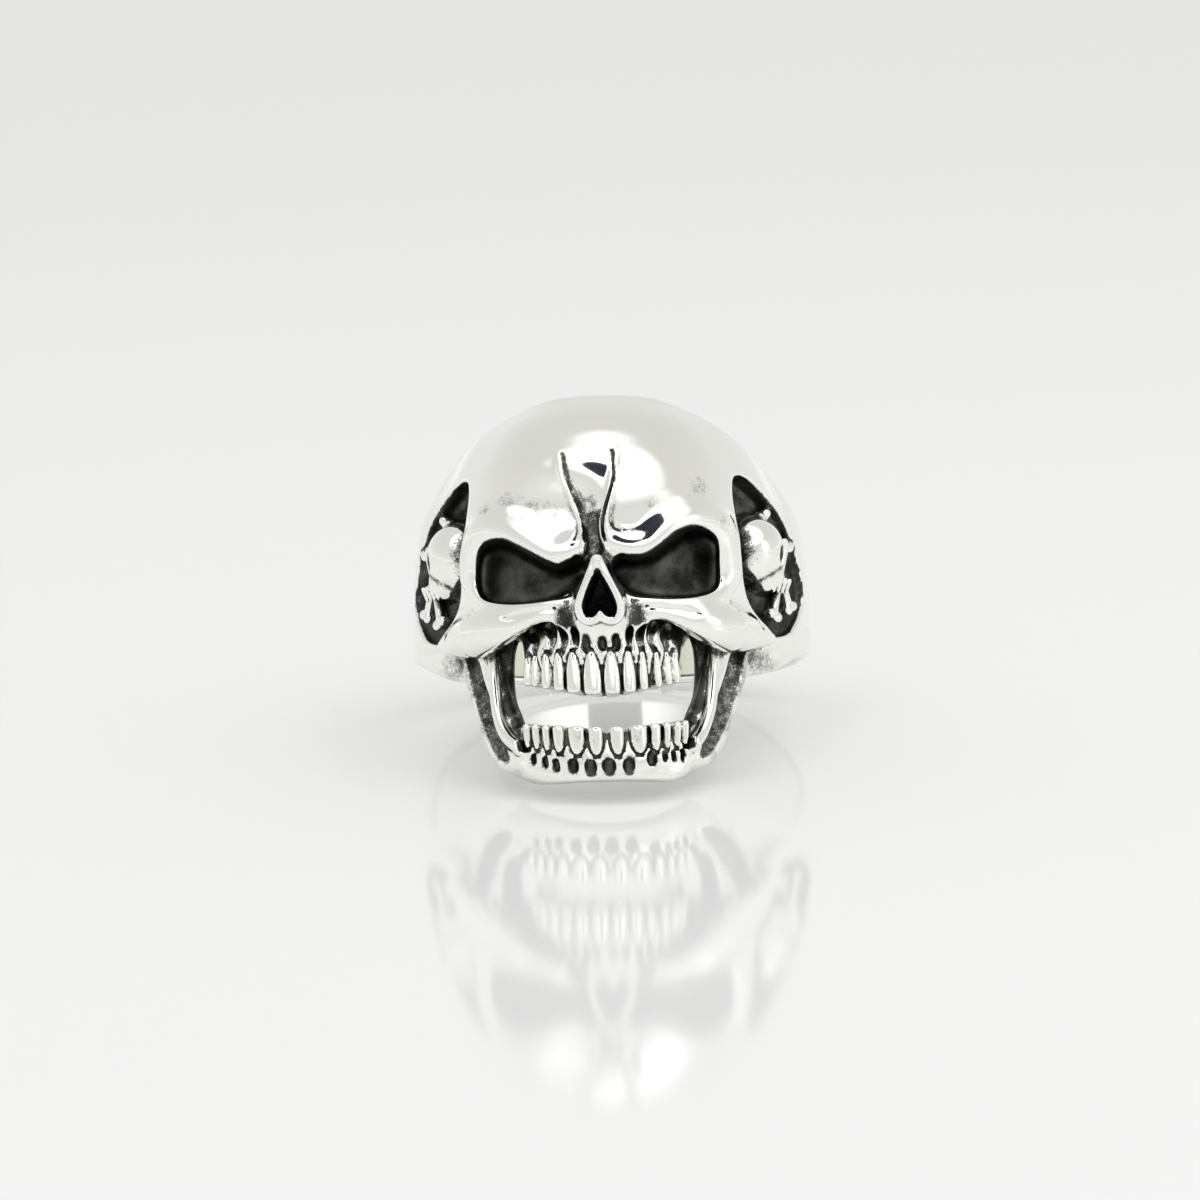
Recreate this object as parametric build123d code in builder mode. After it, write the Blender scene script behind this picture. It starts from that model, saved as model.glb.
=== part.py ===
"""A skull ring, one silver casting, in millimetres.

It is modelled about the finger's axis (Z up, the face to -Y, the back of the band to +Y), with the
band's lower edge at Z = 0, and then leaned back until its chin and the back of its band rest on
the ground, with the origin under the middle of the whole.
"""

import os
from math import atan2, cos, degrees, pi, radians, sin

from build123d import *

# Finger hole and band
finger_diameter = 20.6
band_wall = 0.95
band_height = 5.6

# Cranium: the face stands this far out from the finger hole
crown_height = 13.4
face_thickness = 6.7
face_width = 15.4

# Brow, eye sockets, nose and cheekbones
brow_thickness = 1.7
frown_thickness = 0.8
socket_depth = 2.9
nose_projection = 7.8
nostril_height = 2.3
nostril_width = 1.9
cheek_thickness = 2.6

# Teeth of both rows
teeth_per_row = 12
tooth_thickness = 1.1
arch_depth = 3.3
upper_row_width = 7.8
upper_row_projection = 6.5
upper_row_drop = 4.0
upper_tooth_height = 2.5
lower_row_width = 8.4
lower_row_projection = 5.8
lower_tooth_height = 1.6
mouth_gap = 1.9

# Lower jaw
chin_height = 1.0
chin_projection = 5.4
chin_flat = 6.0
jaw_width = 11.8
jaw_thickness = 2.1
jaw_clearance = 1.15
ramus_thickness = 1.7
ramus_depth = 3.6
ramus_turn = 25.0
pit_diameter = 0.5

# Side recesses and their reliefs
recess_height = 8.3
recess_width = 9.6
recess_angle = 53.0
recess_turn = 16.0
recess_floor_wall = 0.6
relief_rise = 1.4
relief_skull_width = 4.0
bone_length = 6.0
bone_diameter = 0.6
knob_diameter = 1.0

finger_radius = finger_diameter / 2
band_radius = finger_radius + band_wall
face_half_width = face_width / 2
face_reach = finger_radius + face_thickness
lower_row_top = -(upper_row_drop + mouth_gap)
jaw_top = lower_row_top - lower_tooth_height
chin_bottom = jaw_top - chin_height
jaw_half_width = jaw_width / 2
chin_reach = finger_radius + chin_projection
jaw_back = -(finger_radius + jaw_clearance)

# Outer form of band and cranium at levels given as shares of the crown height. The half width at
# the finger's axis is a share of the band radius, the temple corner stands across by a share of
# the face's half width and out from the finger hole by a share of the face's thickness, and so
# does the middle of the face.
hull_sections = [
    # level, half_width, corner_across, corner_out, middle_out
    (0.00, 0.985, 0.890, 0.007, 0.440),
    (0.18, 0.991, 0.990, 0.225, 0.900),
    (0.36, 0.980, 0.985, 0.327, 1.000),
    (0.55, 0.948, 0.955, 0.260, 1.025),
    (0.73, 0.853, 0.840, 0.190, 0.886),
    (0.88, 0.748, 0.658, 0.110, 0.620),
    (1.00, 0.620, 0.375, 0.033, 0.150),
]

# Ridges of the face. Their stations stand across by a share of the face's half width, out from
# the finger hole by a share of the face's thickness and up by a share of the crown height, and are
# as thick as a share of the ridge's own thickness.
brow_stations = [
    # across, out, up, thickness
    (0.930, 0.15, 0.330, 0.7),
    (0.850, 0.50, 0.385, 0.9),
    (0.675, 0.74, 0.407, 1.0),
    (0.455, 0.93, 0.343, 1.0),
    (0.247, 1.00, 0.276, 0.9),
    (0.078, 0.90, 0.269, 0.7),
]
frown_stations = [
    (0.123, 0.96, 0.290, 1.2),
    (0.110, 1.03, 0.418, 1.0),
    (0.143, 1.02, 0.537, 0.8),
    (0.182, 0.88, 0.687, 0.3),
]
cheek_stations = [
    (0.180, 0.76, 0.075, 0.35),
    (0.420, 0.84, 0.055, 0.60),
    (0.680, 0.66, 0.010, 0.95),
    (0.880, 0.34, -0.004, 1.00),
    (1.040, -0.08, -0.004, 0.90),
    (1.180, -0.52, 0.030, 0.75),
    (1.240, -0.85, 0.100, 0.40),
]

# Each side of the lower jaw climbs through these: across by a share of the jaw's half width, out
# from the finger hole by a share of the chin's projection and down by a share of the chin's drop.
ramus_stations = [
    # across, out, down, depth
    (0.800, 0.430, 0.860, 0.9),
    (0.930, 0.330, 0.470, 0.9),
    (1.040, 0.200, 0.120, 1.0),
    (1.090, 0.110, -0.120, 1.0),
]

# Upper jaw: levels as shares of the drop of its teeth, half widths as shares of its row's half
# width, and how far its front lies behind the front of the teeth, in shares of a tooth's thickness
upper_jaw_sections = [
    # level, half_width, set_back
    (0.55, 0.67, 0.00),
    (0.10, 0.77, 0.46),
    (-0.25, 0.95, 0.53),
    (-0.60, 1.09, 0.32),
]

# Nose bone: levels as shares of the crown height, half widths as shares of the nostril's width,
# and how far its front stands out from the finger hole as a share of the nose's projection
nose_sections = [
    # level, half_width, out
    (0.39, 0.24, 0.87),
    (0.25, 0.42, 1.00),
    (0.075, 0.76, 0.94),
    (-0.052, 0.71, 0.80),
]

# Outline of one eye socket, across in shares of the face's half width and up in shares of the
# crown height
socket_outline = [
    # across, up
    (0.877, 0.246),
    (0.844, 0.321),
    (0.740, 0.354),
    (0.545, 0.299),
    (0.377, 0.231),
    (0.260, 0.205),
    (0.117, 0.231),
    (0.130, 0.179),
    (0.234, 0.131),
    (0.390, 0.104),
    (0.584, 0.093),
    (0.779, 0.108),
    (0.857, 0.157),
]

# Outline of a side recess from a place on its floor, rearward in shares of the recess's width and
# up in shares of its height
recess_outline = [
    # rearward, up
    (-0.31, 0.46),
    (-0.12, 0.39),
    (0.09, 0.26),
    (0.25, 0.08),
    (0.36, -0.07),
    (0.37, -0.22),
    (0.26, -0.38),
    (0.12, -0.48),
    (-0.07, -0.53),
    (-0.29, -0.48),
    (-0.47, -0.41),
    (-0.56, -0.29),
    (-0.60, -0.11),
    (-0.62, 0.11),
    (-0.60, 0.28),
    (-0.49, 0.42),
]

# Outline of one half of the nostril, from its top to the notch at its foot
nostril_outline = [
    # share of the nostril's half width, share of its height
    (0.00, 1.00),
    (0.58, 0.59),
    (1.00, 0.20),
    (0.84, 0.00),
    (0.26, 0.00),
    (0.00, 0.17),
]


def face_point(across, out, up):
    """Return the point of the face that these shares give."""
    return (across * face_half_width, -(finger_radius + out * face_thickness), up * crown_height)


def roll(stations, side_dir):
    """Loft a ridge through stations (centre, radii, turn), whose ends lie inside the casting."""
    path = Spline(*[centre for centre, _, _ in stations], mode=Mode.PRIVATE)
    sections = []
    for centre, radii, turn in stations:
        direction = path % path.param_at_point(centre)
        with BuildSketch(Plane(origin=centre, x_dir=side_dir, z_dir=direction)) as section:
            Ellipse(*radii, rotation=turn)
        sections.append(section.sketch)
    loft(sections)


def face_ridge(table, thickness, side_dir):
    """Loft one ridge of the face from its table of stations."""
    roll([(face_point(*row[:3]), (row[3] * thickness / 2, row[3] * thickness / 2), 0) for row in table],
         side_dir)


def row_places(row_width, row_reach):
    """Return (x, y, size) for each tooth of a row, set evenly round a half oval."""
    places = []
    for number in range(teeth_per_row):
        angle = (number + 0.5) / teeth_per_row * pi - pi / 2
        y = -row_reach + tooth_thickness / 2 + arch_depth * (1 - cos(angle))
        places.append((row_width / 2 * sin(angle), y, 0.92 - 0.27 * abs(sin(angle)) ** 3))
    return places


with BuildPart() as hull:
    for level, half_width, corner_across, corner_out, middle_out in hull_sections:
        side = half_width * band_radius
        temple_x, temple_y, height = face_point(corner_across, corner_out, level)
        with BuildSketch(Plane.XY.offset(height)):
            with BuildLine():
                middle = (0, face_point(0, middle_out, level)[1])
                ThreePointArc((side, 0), (0, side), (-side, 0))
                TangentArc((-side, 0), (-temple_x, temple_y), tangent=(0, -1))
                ThreePointArc((-temple_x, temple_y), middle, (temple_x, temple_y))
                TangentArc((side, 0), (temple_x, temple_y), tangent=(0, -1))
            make_face()
    loft()
    # The band's upper edge climbs from its back to the crown.
    with BuildSketch(Plane.YZ):
        with BuildLine():
            level_end = (0.75 * band_radius, band_height)
            climb = Line((0.10 * band_radius, band_height + 0.19 * (crown_height - band_height)),
                         (-0.80 * band_radius, 0.935 * crown_height))
            TangentArc(climb @ 0, level_end, tangent=climb % 0 * -1)
            crown = Line(climb @ 1, (-0.99 * band_radius, crown_height + 0.01))
            Polyline(crown @ 1, (-band_radius, 2 * crown_height), (2 * band_radius, 2 * crown_height),
                     (2 * band_radius, band_height), level_end)
        make_face()
    extrude(amount=2 * band_radius, both=True, mode=Mode.SUBTRACT)

# Brow roll over each socket, the frown ridge that climbs from its inner end, and the cheekbone
# from under the nose, below the socket and back along the side
with BuildPart() as face_ridges:
    face_ridge(brow_stations, brow_thickness, (0, 0, 1))
    face_ridge(frown_stations, frown_thickness, (1, 0, 0))
    face_ridge(cheek_stations, cheek_thickness, (0, 0, 1))
    mirror(about=Plane.YZ)

# Nose bone
with BuildPart() as nose:
    for level, half_width, out in nose_sections:
        half = half_width * nostril_width
        front = -(finger_radius + out * nose_projection)
        root = -(finger_radius + 0.7 * face_thickness)
        with BuildSketch(Plane.XY.offset(level * crown_height)):
            with BuildLine():
                flank = Line((-1.3 * half, root), (-half, front + half))
                ThreePointArc(flank @ 1, (0, front), (half, front + half))
                Polyline((half, front + half), (1.3 * half, root), flank @ 0)
            make_face()
    loft()

# Upper jaw: a horseshoe under the nose, hollow behind its teeth
upper_half = upper_row_width / 2
jaw_root = -0.9 * finger_radius
with BuildPart() as upper_jaw:
    for level, half_width, set_back in upper_jaw_sections:
        half = half_width * upper_half
        front = -(finger_radius + upper_row_projection - set_back * tooth_thickness)
        corner = front + arch_depth
        with BuildSketch(Plane.XY.offset(level * upper_row_drop)):
            with BuildLine():
                EllipticalCenterArc((0, corner), half, arch_depth, start_angle=180, arc_size=180)
                Polyline((half, corner), (half, jaw_root), (-half, jaw_root), (-half, corner))
            make_face()
    loft()
    palate_front = -(finger_radius + upper_row_projection - 1.6 * tooth_thickness)
    with BuildSketch(Plane.XY.offset(-upper_row_drop)):
        with Locations((0, palate_front + 1.2 * arch_depth)):
            Ellipse(upper_half - tooth_thickness, 1.2 * arch_depth)
    extrude(amount=0.9 * upper_row_drop, mode=Mode.SUBTRACT)

with BuildPart() as upper_teeth:
    for x, y, size in row_places(upper_row_width, finger_radius + upper_row_projection):
        radius = size * tooth_thickness / 2
        edge = -upper_row_drop * (1 - 0.09 * (x / upper_half) ** 2)
        with Locations((x, y, edge)):
            Cone(0.85 * radius, radius, upper_tooth_height, align=(Align.CENTER, Align.CENTER, Align.MIN))

# Lower jaw: a horseshoe whose underside rises to the sides, with a ramus up to the band each side
with BuildPart() as lower_jaw:
    with BuildSketch(Plane.XY.offset(chin_bottom)):
        with BuildLine():
            bow = -chin_reach - jaw_back
            inner = jaw_half_width - jaw_thickness
            EllipticalCenterArc((0, jaw_back), jaw_half_width, -bow, start_angle=180, arc_size=180)
            Line((jaw_half_width, jaw_back), (inner, jaw_back))
            EllipticalCenterArc((0, jaw_back), inner, -0.2 * bow, start_angle=180, arc_size=180)
            Line((-inner, jaw_back), (-jaw_half_width, jaw_back))
        make_face()
    extrude(amount=chin_height + 0.15 * lower_tooth_height)
    with BuildSketch(Plane.XZ):
        with BuildLine():
            rise = -0.28 * chin_bottom
            flat = Line((-chin_flat / 2, chin_bottom), (chin_flat / 2, chin_bottom))
            right = TangentArc(flat @ 1, (1.05 * jaw_half_width, chin_bottom + rise), tangent=(1, 0))
            left = TangentArc(flat @ 0, (-1.05 * jaw_half_width, chin_bottom + rise), tangent=(-1, 0))
            Polyline(right @ 1, (jaw_width, 2 * chin_bottom), (-jaw_width, 2 * chin_bottom), left @ 1)
        make_face()
    extrude(amount=2 * chin_reach, mode=Mode.SUBTRACT)
    for hand in (-1, 1):
        roll([((hand * across * jaw_half_width, -(finger_radius + out * chin_projection), down * chin_bottom),
               (ramus_thickness / 2, depth * ramus_depth / 2), hand * ramus_turn)
              for across, out, down, depth in ramus_stations], (1, 0, 0))

with BuildPart() as lower_teeth:
    for x, y, size in row_places(lower_row_width, finger_radius + lower_row_projection):
        radius = size * tooth_thickness / 2
        with Locations((x, y, lower_row_top)):
            Cone(0.85 * radius, radius, 1.05 * lower_tooth_height, rotation=(180, 0, 0),
                 align=(Align.CENTER, Align.CENTER, Align.MIN))

# Row of pits round the chin, one between each two teeth
with BuildPart() as pits:
    for number in range(1, teeth_per_row):
        angle = number / teeth_per_row * pi - pi / 2
        x = 0.97 * jaw_half_width * sin(angle)
        y = jaw_back + bow * cos(angle)
        with Locations(Location((x, y, jaw_top - 0.5 * chin_height), (90, 0, degrees(angle)))):
            Cylinder(pit_diameter / 2, tooth_thickness)

# Hollows of the face
with BuildPart() as nostril:
    foot = 0.012 * crown_height
    half = [(across * nostril_width / 2, foot + up * nostril_height) for across, up in nostril_outline]
    with BuildSketch(Plane.XZ.offset(2 * face_reach)):
        with BuildLine():
            Polyline(*half, *[(-x, z) for x, z in reversed(half[1:-1])], close=True)
        make_face()
    extrude(amount=-(2 * face_reach - finger_radius - 0.5 * face_thickness))

with BuildPart() as sockets:
    with BuildSketch(Plane.XZ.offset(2 * face_reach)):
        with BuildLine():
            Spline(*[(across * face_half_width, up * crown_height) for across, up in socket_outline],
                   periodic=True)
        make_face()
    extrude(amount=-2 * face_reach)
    mirror(about=Plane.YZ)
    with BuildSketch():
        with BuildLine():
            floor_end = -(face_reach - socket_depth - 0.53 * face_thickness)
            floor = ThreePointArc((-face_half_width, floor_end), (0, -(face_reach - socket_depth)),
                                  (face_half_width, floor_end))
            Polyline(floor @ 1, (face_half_width, 0), (-face_half_width, 0), floor @ 0)
        make_face()
    extrude(amount=crown_height, mode=Mode.SUBTRACT)

# Side recess: an oval let into the shoulder, down to a wall round the finger and in to a wall beside
# the eye socket
recess_floor_radius = finger_radius + recess_floor_wall
recess_inner_wall = 0.925 * face_half_width
recess_level = 0.35 * crown_height
across_floor = Plane(
    origin=(recess_floor_radius * sin(radians(recess_angle)),
            -recess_floor_radius * cos(radians(recess_angle)), recess_level),
    x_dir=(cos(radians(recess_angle)), sin(radians(recess_angle)), 0),
    z_dir=(sin(radians(recess_angle)), -cos(radians(recess_angle)), 0))
with BuildPart() as recesses:
    with BuildSketch(across_floor.rotated((0, recess_turn, 0))):
        with BuildLine():
            Spline(*[(rearward * recess_width, up * recess_height) for rearward, up in recess_outline],
                   periodic=True)
        make_face()
    extrude(amount=face_thickness, both=True)
    Cylinder(recess_floor_radius, 4 * crown_height, mode=Mode.SUBTRACT)
    Box(2 * recess_inner_wall, 4 * face_reach, 4 * crown_height, mode=Mode.SUBTRACT)
    mirror(about=Plane.YZ)

# Relief on each recess floor: a small skull over crossed bones
relief_centre = -0.10 * recess_width
with BuildPart() as reliefs:
    for slope in (-52, 52):
        bone = across_floor * Location((relief_centre, -0.06 * recess_height, bone_diameter / 2),
                                       (0, 0, slope))
        with Locations(bone):
            Box(bone_length, bone_diameter, 2 * bone_diameter)
        with Locations(bone * Location((-bone_length / 2, 0, 0)), bone * Location((bone_length / 2, 0, 0))):
            Sphere(knob_diameter / 2)
    skull = scale(Sphere(relief_skull_width / 2, mode=Mode.PRIVATE),
                  by=(1, 1.05, 2 * relief_rise / relief_skull_width), mode=Mode.PRIVATE)
    add(across_floor * Location((relief_centre, 0.06 * recess_height, 0)) * skull)
    mirror(about=Plane.YZ)
    add(hull.part, mode=Mode.INTERSECT)

with BuildPart() as skull_ring:
    add(hull.part)
    add([face_ridges.part, nose.part, upper_jaw.part, lower_jaw.part])
    add([upper_teeth.part, lower_teeth.part])
    add([nostril.part, sockets.part, recesses.part, pits.part], mode=Mode.SUBTRACT)
    add(reliefs.part)
    Cylinder(finger_radius, 4 * crown_height, mode=Mode.SUBTRACT)

# Lean back about X until the jaw's back edge and the band's back edge are level, and set down
lean = degrees(atan2(-chin_bottom, band_radius * hull_sections[0][1] - jaw_back))
resting = skull_ring.part.rotate(Axis.X, -lean)
box = resting.bounding_box()
resting = resting.moved(Location((-box.center().X, -box.center().Y, -box.min.Z)))
resting.label = "skull_ring"

os.makedirs("parts", exist_ok=True)
export_step(resting, "parts/skull_ring.step")
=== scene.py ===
"""Looks of a skull ring: one polished silver casting, blackened in its hollows, on a white table.

The ring's surface is modelled as clay on a fine grid about the finger's axis, in millimetres: across
is to the viewer's right, out is towards the face and level is up the finger. It is then meshed,
leaned back as the ring rests, and dressed in silver.
"""

import logging
import math
from dataclasses import dataclass, field
from enum import Enum

import bmesh
import bpy
import numpy as np
import openvdb
from mathutils import Matrix, Vector

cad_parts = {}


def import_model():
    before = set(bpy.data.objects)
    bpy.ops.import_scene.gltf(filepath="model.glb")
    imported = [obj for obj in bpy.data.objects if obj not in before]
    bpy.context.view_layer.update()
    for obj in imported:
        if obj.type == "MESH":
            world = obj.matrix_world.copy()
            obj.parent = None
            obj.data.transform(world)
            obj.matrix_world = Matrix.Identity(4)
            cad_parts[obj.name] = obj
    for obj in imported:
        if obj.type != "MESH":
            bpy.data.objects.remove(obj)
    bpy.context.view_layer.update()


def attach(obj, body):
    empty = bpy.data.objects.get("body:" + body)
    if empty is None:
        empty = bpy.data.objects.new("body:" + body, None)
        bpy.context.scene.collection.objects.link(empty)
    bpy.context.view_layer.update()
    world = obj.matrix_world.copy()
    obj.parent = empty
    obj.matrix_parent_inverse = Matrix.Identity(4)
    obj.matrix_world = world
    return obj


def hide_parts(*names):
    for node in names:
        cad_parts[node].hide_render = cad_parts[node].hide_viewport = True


MM = 0.001
log = logging.getLogger("skull_ring")

Row = tuple[float, ...]
Window = tuple[slice, slice, slice]
Shape = tuple[Window, np.ndarray]
WHOLE: Window = (slice(None), slice(None), slice(None))


class Side(Enum):
    """A side of the face, as the viewer sees it."""

    LEFT = -1
    RIGHT = 1


def curve_through(knots: np.ndarray, values: np.ndarray, at: np.ndarray) -> np.ndarray:
    """Read a smooth curve through values at knots.

    Args:
        knots: rising places of the values.
        values: one value, or one row of values, for each knot.
        at: the places to read.

    Returns:
        The curve's value at each place.
    """
    values = np.asarray(values, float).reshape(len(knots), -1)
    slopes = np.gradient(values, knots, axis=0)
    at = np.clip(np.atleast_1d(at), knots[0], knots[-1])
    low = np.clip(np.searchsorted(knots, at) - 1, 0, len(knots) - 2)
    span = (knots[low + 1] - knots[low])[:, None]
    t = (at - knots[low])[:, None] / span
    near = (2 * t**3 - 3 * t**2 + 1) * values[low] + (t**3 - 2 * t**2 + t) * span * slopes[low]
    far = (3 * t**2 - 2 * t**3) * values[low + 1] + (t**3 - t**2) * span * slopes[low + 1]
    return near + far


def ease(low: float, high: float, value: np.ndarray) -> np.ndarray:
    """Return 0 below low and 1 above high, with a smooth step between."""
    t = np.clip((value - low) / (high - low), 0, 1)
    return t * t * (3 - 2 * t)


def join(a: np.ndarray, b: np.ndarray, blend: float) -> np.ndarray:
    """Return the union of two distance fields, with a fillet of about the blend's size."""
    near = np.maximum(blend - np.abs(a - b), 0)
    return np.minimum(a, b) - near * near / (4 * blend)


def meet(a: np.ndarray, b: np.ndarray, blend: float) -> np.ndarray:
    """Return what two distance fields share, with an edge rounded by the blend."""
    near = np.maximum(blend - np.abs(a - b), 0)
    return np.maximum(a, b) + near * near / (4 * blend)


def on_arch(across: float, half: float, front: float, depth: float,
            limit: float = 0.97) -> tuple[float, float]:
    """Return how far out an oval arch stands at a place across it, and the angle it faces there."""
    share = max(-limit, min(across / half, limit))
    flat = math.sqrt(1 - share**2)
    return front - depth * (1 - flat), math.atan2(share / half, flat / depth)


def mirrored(side: Side, rows: tuple[Row, ...]) -> tuple[np.ndarray, np.ndarray]:
    """Return the centres and radii of rows of across, out, level and radius, on one side."""
    table = np.array(rows)
    return table[:, :3] * (side.value, 1, 1), table[:, 3]


def by_level(rows: tuple[Row, ...], level: np.ndarray) -> tuple[np.ndarray, np.ndarray]:
    """Read half width and front at each level from rows of level, half width and out."""
    table = np.array(rows)
    half, front = curve_through(table[:, 0], table[:, 1:], level.ravel()).T
    return half[None, None, :], front[None, None, :]


@dataclass
class RestingPose:
    """How the ring lies: leaned back on its chin and the back of its band."""

    chin_drop: float = 8.5
    foot_span: float = 22.53125
    origin: Row = (0.0, 2.7216, 3.9114)

    @property
    def lean(self) -> float:
        """Angle from upright, in radians."""
        return math.atan2(self.chin_drop, self.foot_span)

    def place(self, points: np.ndarray) -> np.ndarray:
        """Turn points from the finger's frame, in mm, into the row frame, in metres."""
        return (self.turn(points) + np.array(self.origin)) * MM

    def turn(self, vectors: np.ndarray) -> np.ndarray:
        """Turn directions from the finger's frame into the row frame."""
        c, s = math.cos(self.lean), math.sin(self.lean)
        x, y, z = vectors.T
        return np.stack([x, c * y + s * z, c * z - s * y], axis=1)


class Clay:
    """A solid held as distances to its surface on a grid, negative inside."""

    def __init__(self, low: Row, high: Row, pitch: float) -> None:
        """Lay out an empty grid.

        Args:
            low: lowest corner, as across, out and level.
            high: highest corner.
            pitch: distance between grid points.
        """
        self.pitch = pitch
        self.low = np.array(low, float)
        self.axes = [np.arange(a, b, pitch).astype(np.float32) for a, b in zip(low, high)]
        self.body = np.full([len(a) for a in self.axes], 9.0, np.float32)
        self.soot = np.zeros_like(self.body)

    def window(self, low: Row | np.ndarray, high: Row | np.ndarray, margin: float = 0.0) -> Window:
        """Return the part of the grid that covers a box and a margin round it."""
        cut = []
        for axis, a, b in zip(self.axes, low, high):
            first = int(np.searchsorted(axis, a - margin))
            cut.append(slice(first, max(int(np.searchsorted(axis, b + margin)), first + 1)))
        return cut[0], cut[1], cut[2]

    def places(self, window: Window) -> tuple[np.ndarray, np.ndarray, np.ndarray]:
        """Return across, out and level in a window, ready to broadcast."""
        x, y, z = (axis[cut] for axis, cut in zip(self.axes, window))
        return x[:, None, None], y[None, :, None], z[None, None, :]

    def add(self, shape: Shape, blend: float, soot: float = 0.0) -> None:
        """Join a shape to the body, clean of soot or covered in it."""
        window, part = shape[0], shape[1].astype(np.float32)
        self.body[window] = join(self.body[window], part, blend)
        clean = ease(0.0, 0.06, part)
        self.soot[window] = self.soot[window] * clean + soot * (1 - clean)

    def stain(self, centre: Row | np.ndarray, radii: Row, amount: float) -> None:
        """Lay a patch of soot that fades out over an ellipsoid."""
        c, r = np.array(centre, float), np.array(radii, float)
        window = self.window(c - r, c + r)
        reach = np.sqrt(sum(((p - a) / s) ** 2 for p, a, s in zip(self.places(window), c, r)))
        self.soot[window] = np.maximum(self.soot[window], amount * ease(1.0, 0.25, reach))

    def carve(self, shape: Shape, blend: float, soot: float = 0.0) -> None:
        """Take a shape out of the body, and lay soot from 0 to 1 on what is left there."""
        window, part = shape[0], shape[1].astype(np.float32)
        self.body[window] = meet(self.body[window], -part, blend)
        if soot > 0:
            self.soot[window] = np.maximum(self.soot[window], soot * ease(0.18, 0.05, part))

    def strand(self, centres: np.ndarray, radii: np.ndarray, margin: float,
               depths: np.ndarray | None = None, turns: np.ndarray | None = None) -> Shape:
        """Shape a strand along a smooth path.

        Args:
            centres: the path's points.
            radii: the strand's half thickness at each point.
            margin: how far round it the field has to be right.
            depths: half size of a flattened strand along its turned axis, or None for a round one.
            turns: angle of that axis from out towards across at each point, in degrees.

        Returns:
            The window and the strand's distances in it.
        """
        centres = np.asarray(centres, float)
        lengths = np.linalg.norm(np.diff(centres, axis=0), axis=1)
        knots = np.concatenate([[0], np.cumsum(lengths)])
        count = max(int(knots[-1] / 0.22), 3 * len(knots))
        at = np.linspace(0, knots[-1], count)
        path = curve_through(knots, centres, at)
        size = np.maximum(curve_through(knots, radii, at)[:, 0], 0.03)
        flat = None if depths is None else np.maximum(curve_through(knots, depths, at)[:, 0], 0.03)
        angle = np.radians(curve_through(knots, np.zeros(len(knots)) if turns is None else turns, at)[:, 0])
        reach = (size if flat is None else np.maximum(size, flat)).max()
        whole = self.window(path.min(0), path.max(0), reach + margin)
        part = np.full([s.stop - s.start for s in whole], 9.0, np.float32)
        for n in range(count - 1):
            ends = path[n:n + 2]
            wide = size[n:n + 2].max() if flat is None else max(size[n:n + 2].max(), flat[n:n + 2].max())
            near = self.window(ends.min(0), ends.max(0), wide + margin)
            inner = tuple(slice(max(a.start - b.start, 0), a.stop - b.start) for a, b in zip(near, whole))
            x, y, z = self.places(near)
            along = ends[1] - ends[0]
            share = ((x - ends[0, 0]) * along[0] + (y - ends[0, 1]) * along[1]
                     + (z - ends[0, 2]) * along[2]) / max(along @ along, 1e-9)
            share = np.clip(share, 0, 1).astype(np.float32)
            off = [p - (a + share * d) for p, a, d in zip((x, y, z), ends[0], along)]
            width = size[n] + share * (size[n + 1] - size[n])
            if flat is None:
                found = np.sqrt(off[0] ** 2 + off[1] ** 2 + off[2] ** 2) - width
            else:
                depth = flat[n] + share * (flat[n + 1] - flat[n])
                tilt = (angle[n] + angle[n + 1]) / 2
                deep = np.array([math.sin(tilt), math.cos(tilt), 0.0])
                line = along / np.linalg.norm(along)
                deep -= line * (deep @ line)
                deep /= np.linalg.norm(deep)
                thin = np.cross(line, deep)
                u = off[0] * thin[0] + off[1] * thin[1] + off[2] * thin[2]
                v = off[0] * deep[0] + off[1] * deep[1] + off[2] * deep[2]
                w = off[0] * line[0] + off[1] * line[1] + off[2] * line[2]
                k0 = np.sqrt((u / width) ** 2 + (v / depth) ** 2 + (w / width) ** 2)
                k1 = np.sqrt((u / width**2) ** 2 + (v / depth**2) ** 2 + (w / width**2) ** 2)
                found = k0 * (k0 - 1) / np.maximum(k1, 1e-6)
            part[inner] = np.minimum(part[inner], found.astype(np.float32))
        return whole, part

    def ball(self, centre: Row | np.ndarray, radii: Row, margin: float) -> Shape:
        """Shape an ellipsoid along the grid's axes, and return its window and distances."""
        c, r = np.array(centre, float), np.array(radii, float)
        window = self.window(c - r, c + r, margin)
        off = [(p - a) for p, a in zip(self.places(window), c)]
        k0 = np.sqrt(sum((o / s) ** 2 for o, s in zip(off, r)))
        k1 = np.sqrt(sum((o / s**2) ** 2 for o, s in zip(off, r)))
        return window, (k0 * (k0 - 1) / np.maximum(k1, 1e-6)).astype(np.float32)

    def soften(self, passes: int) -> None:
        """Blur the distances a little, so that creases are as soft as in a polished casting."""
        for _ in range(passes):
            for axis in range(3):
                body = self.body
                ahead = np.concatenate([body.take(range(1, body.shape[axis]), axis),
                                        body.take([-1], axis)], axis)
                behind = np.concatenate([body.take([0], axis),
                                         body.take(range(body.shape[axis] - 1), axis)], axis)
                self.body = (0.5 * body + 0.25 * ahead + 0.25 * behind).astype(np.float32)

    def read(self, values: np.ndarray, points: np.ndarray) -> np.ndarray:
        """Read a grid of values at any points, between its grid points."""
        place = (points - self.low) / self.pitch
        top = np.array(values.shape[:3]) - 2
        cell = np.clip(np.floor(place).astype(int), 0, top)
        t = np.clip(place - cell, 0, 1)
        found = np.zeros((len(points),) + values.shape[3:])
        for corner in np.ndindex(2, 2, 2):
            weight = np.prod(np.where(corner, t, 1 - t), axis=1)
            sample = values[tuple((cell + corner).T)]
            found += weight.reshape((-1,) + (1,) * (sample.ndim - 1)) * sample
        return found

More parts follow.
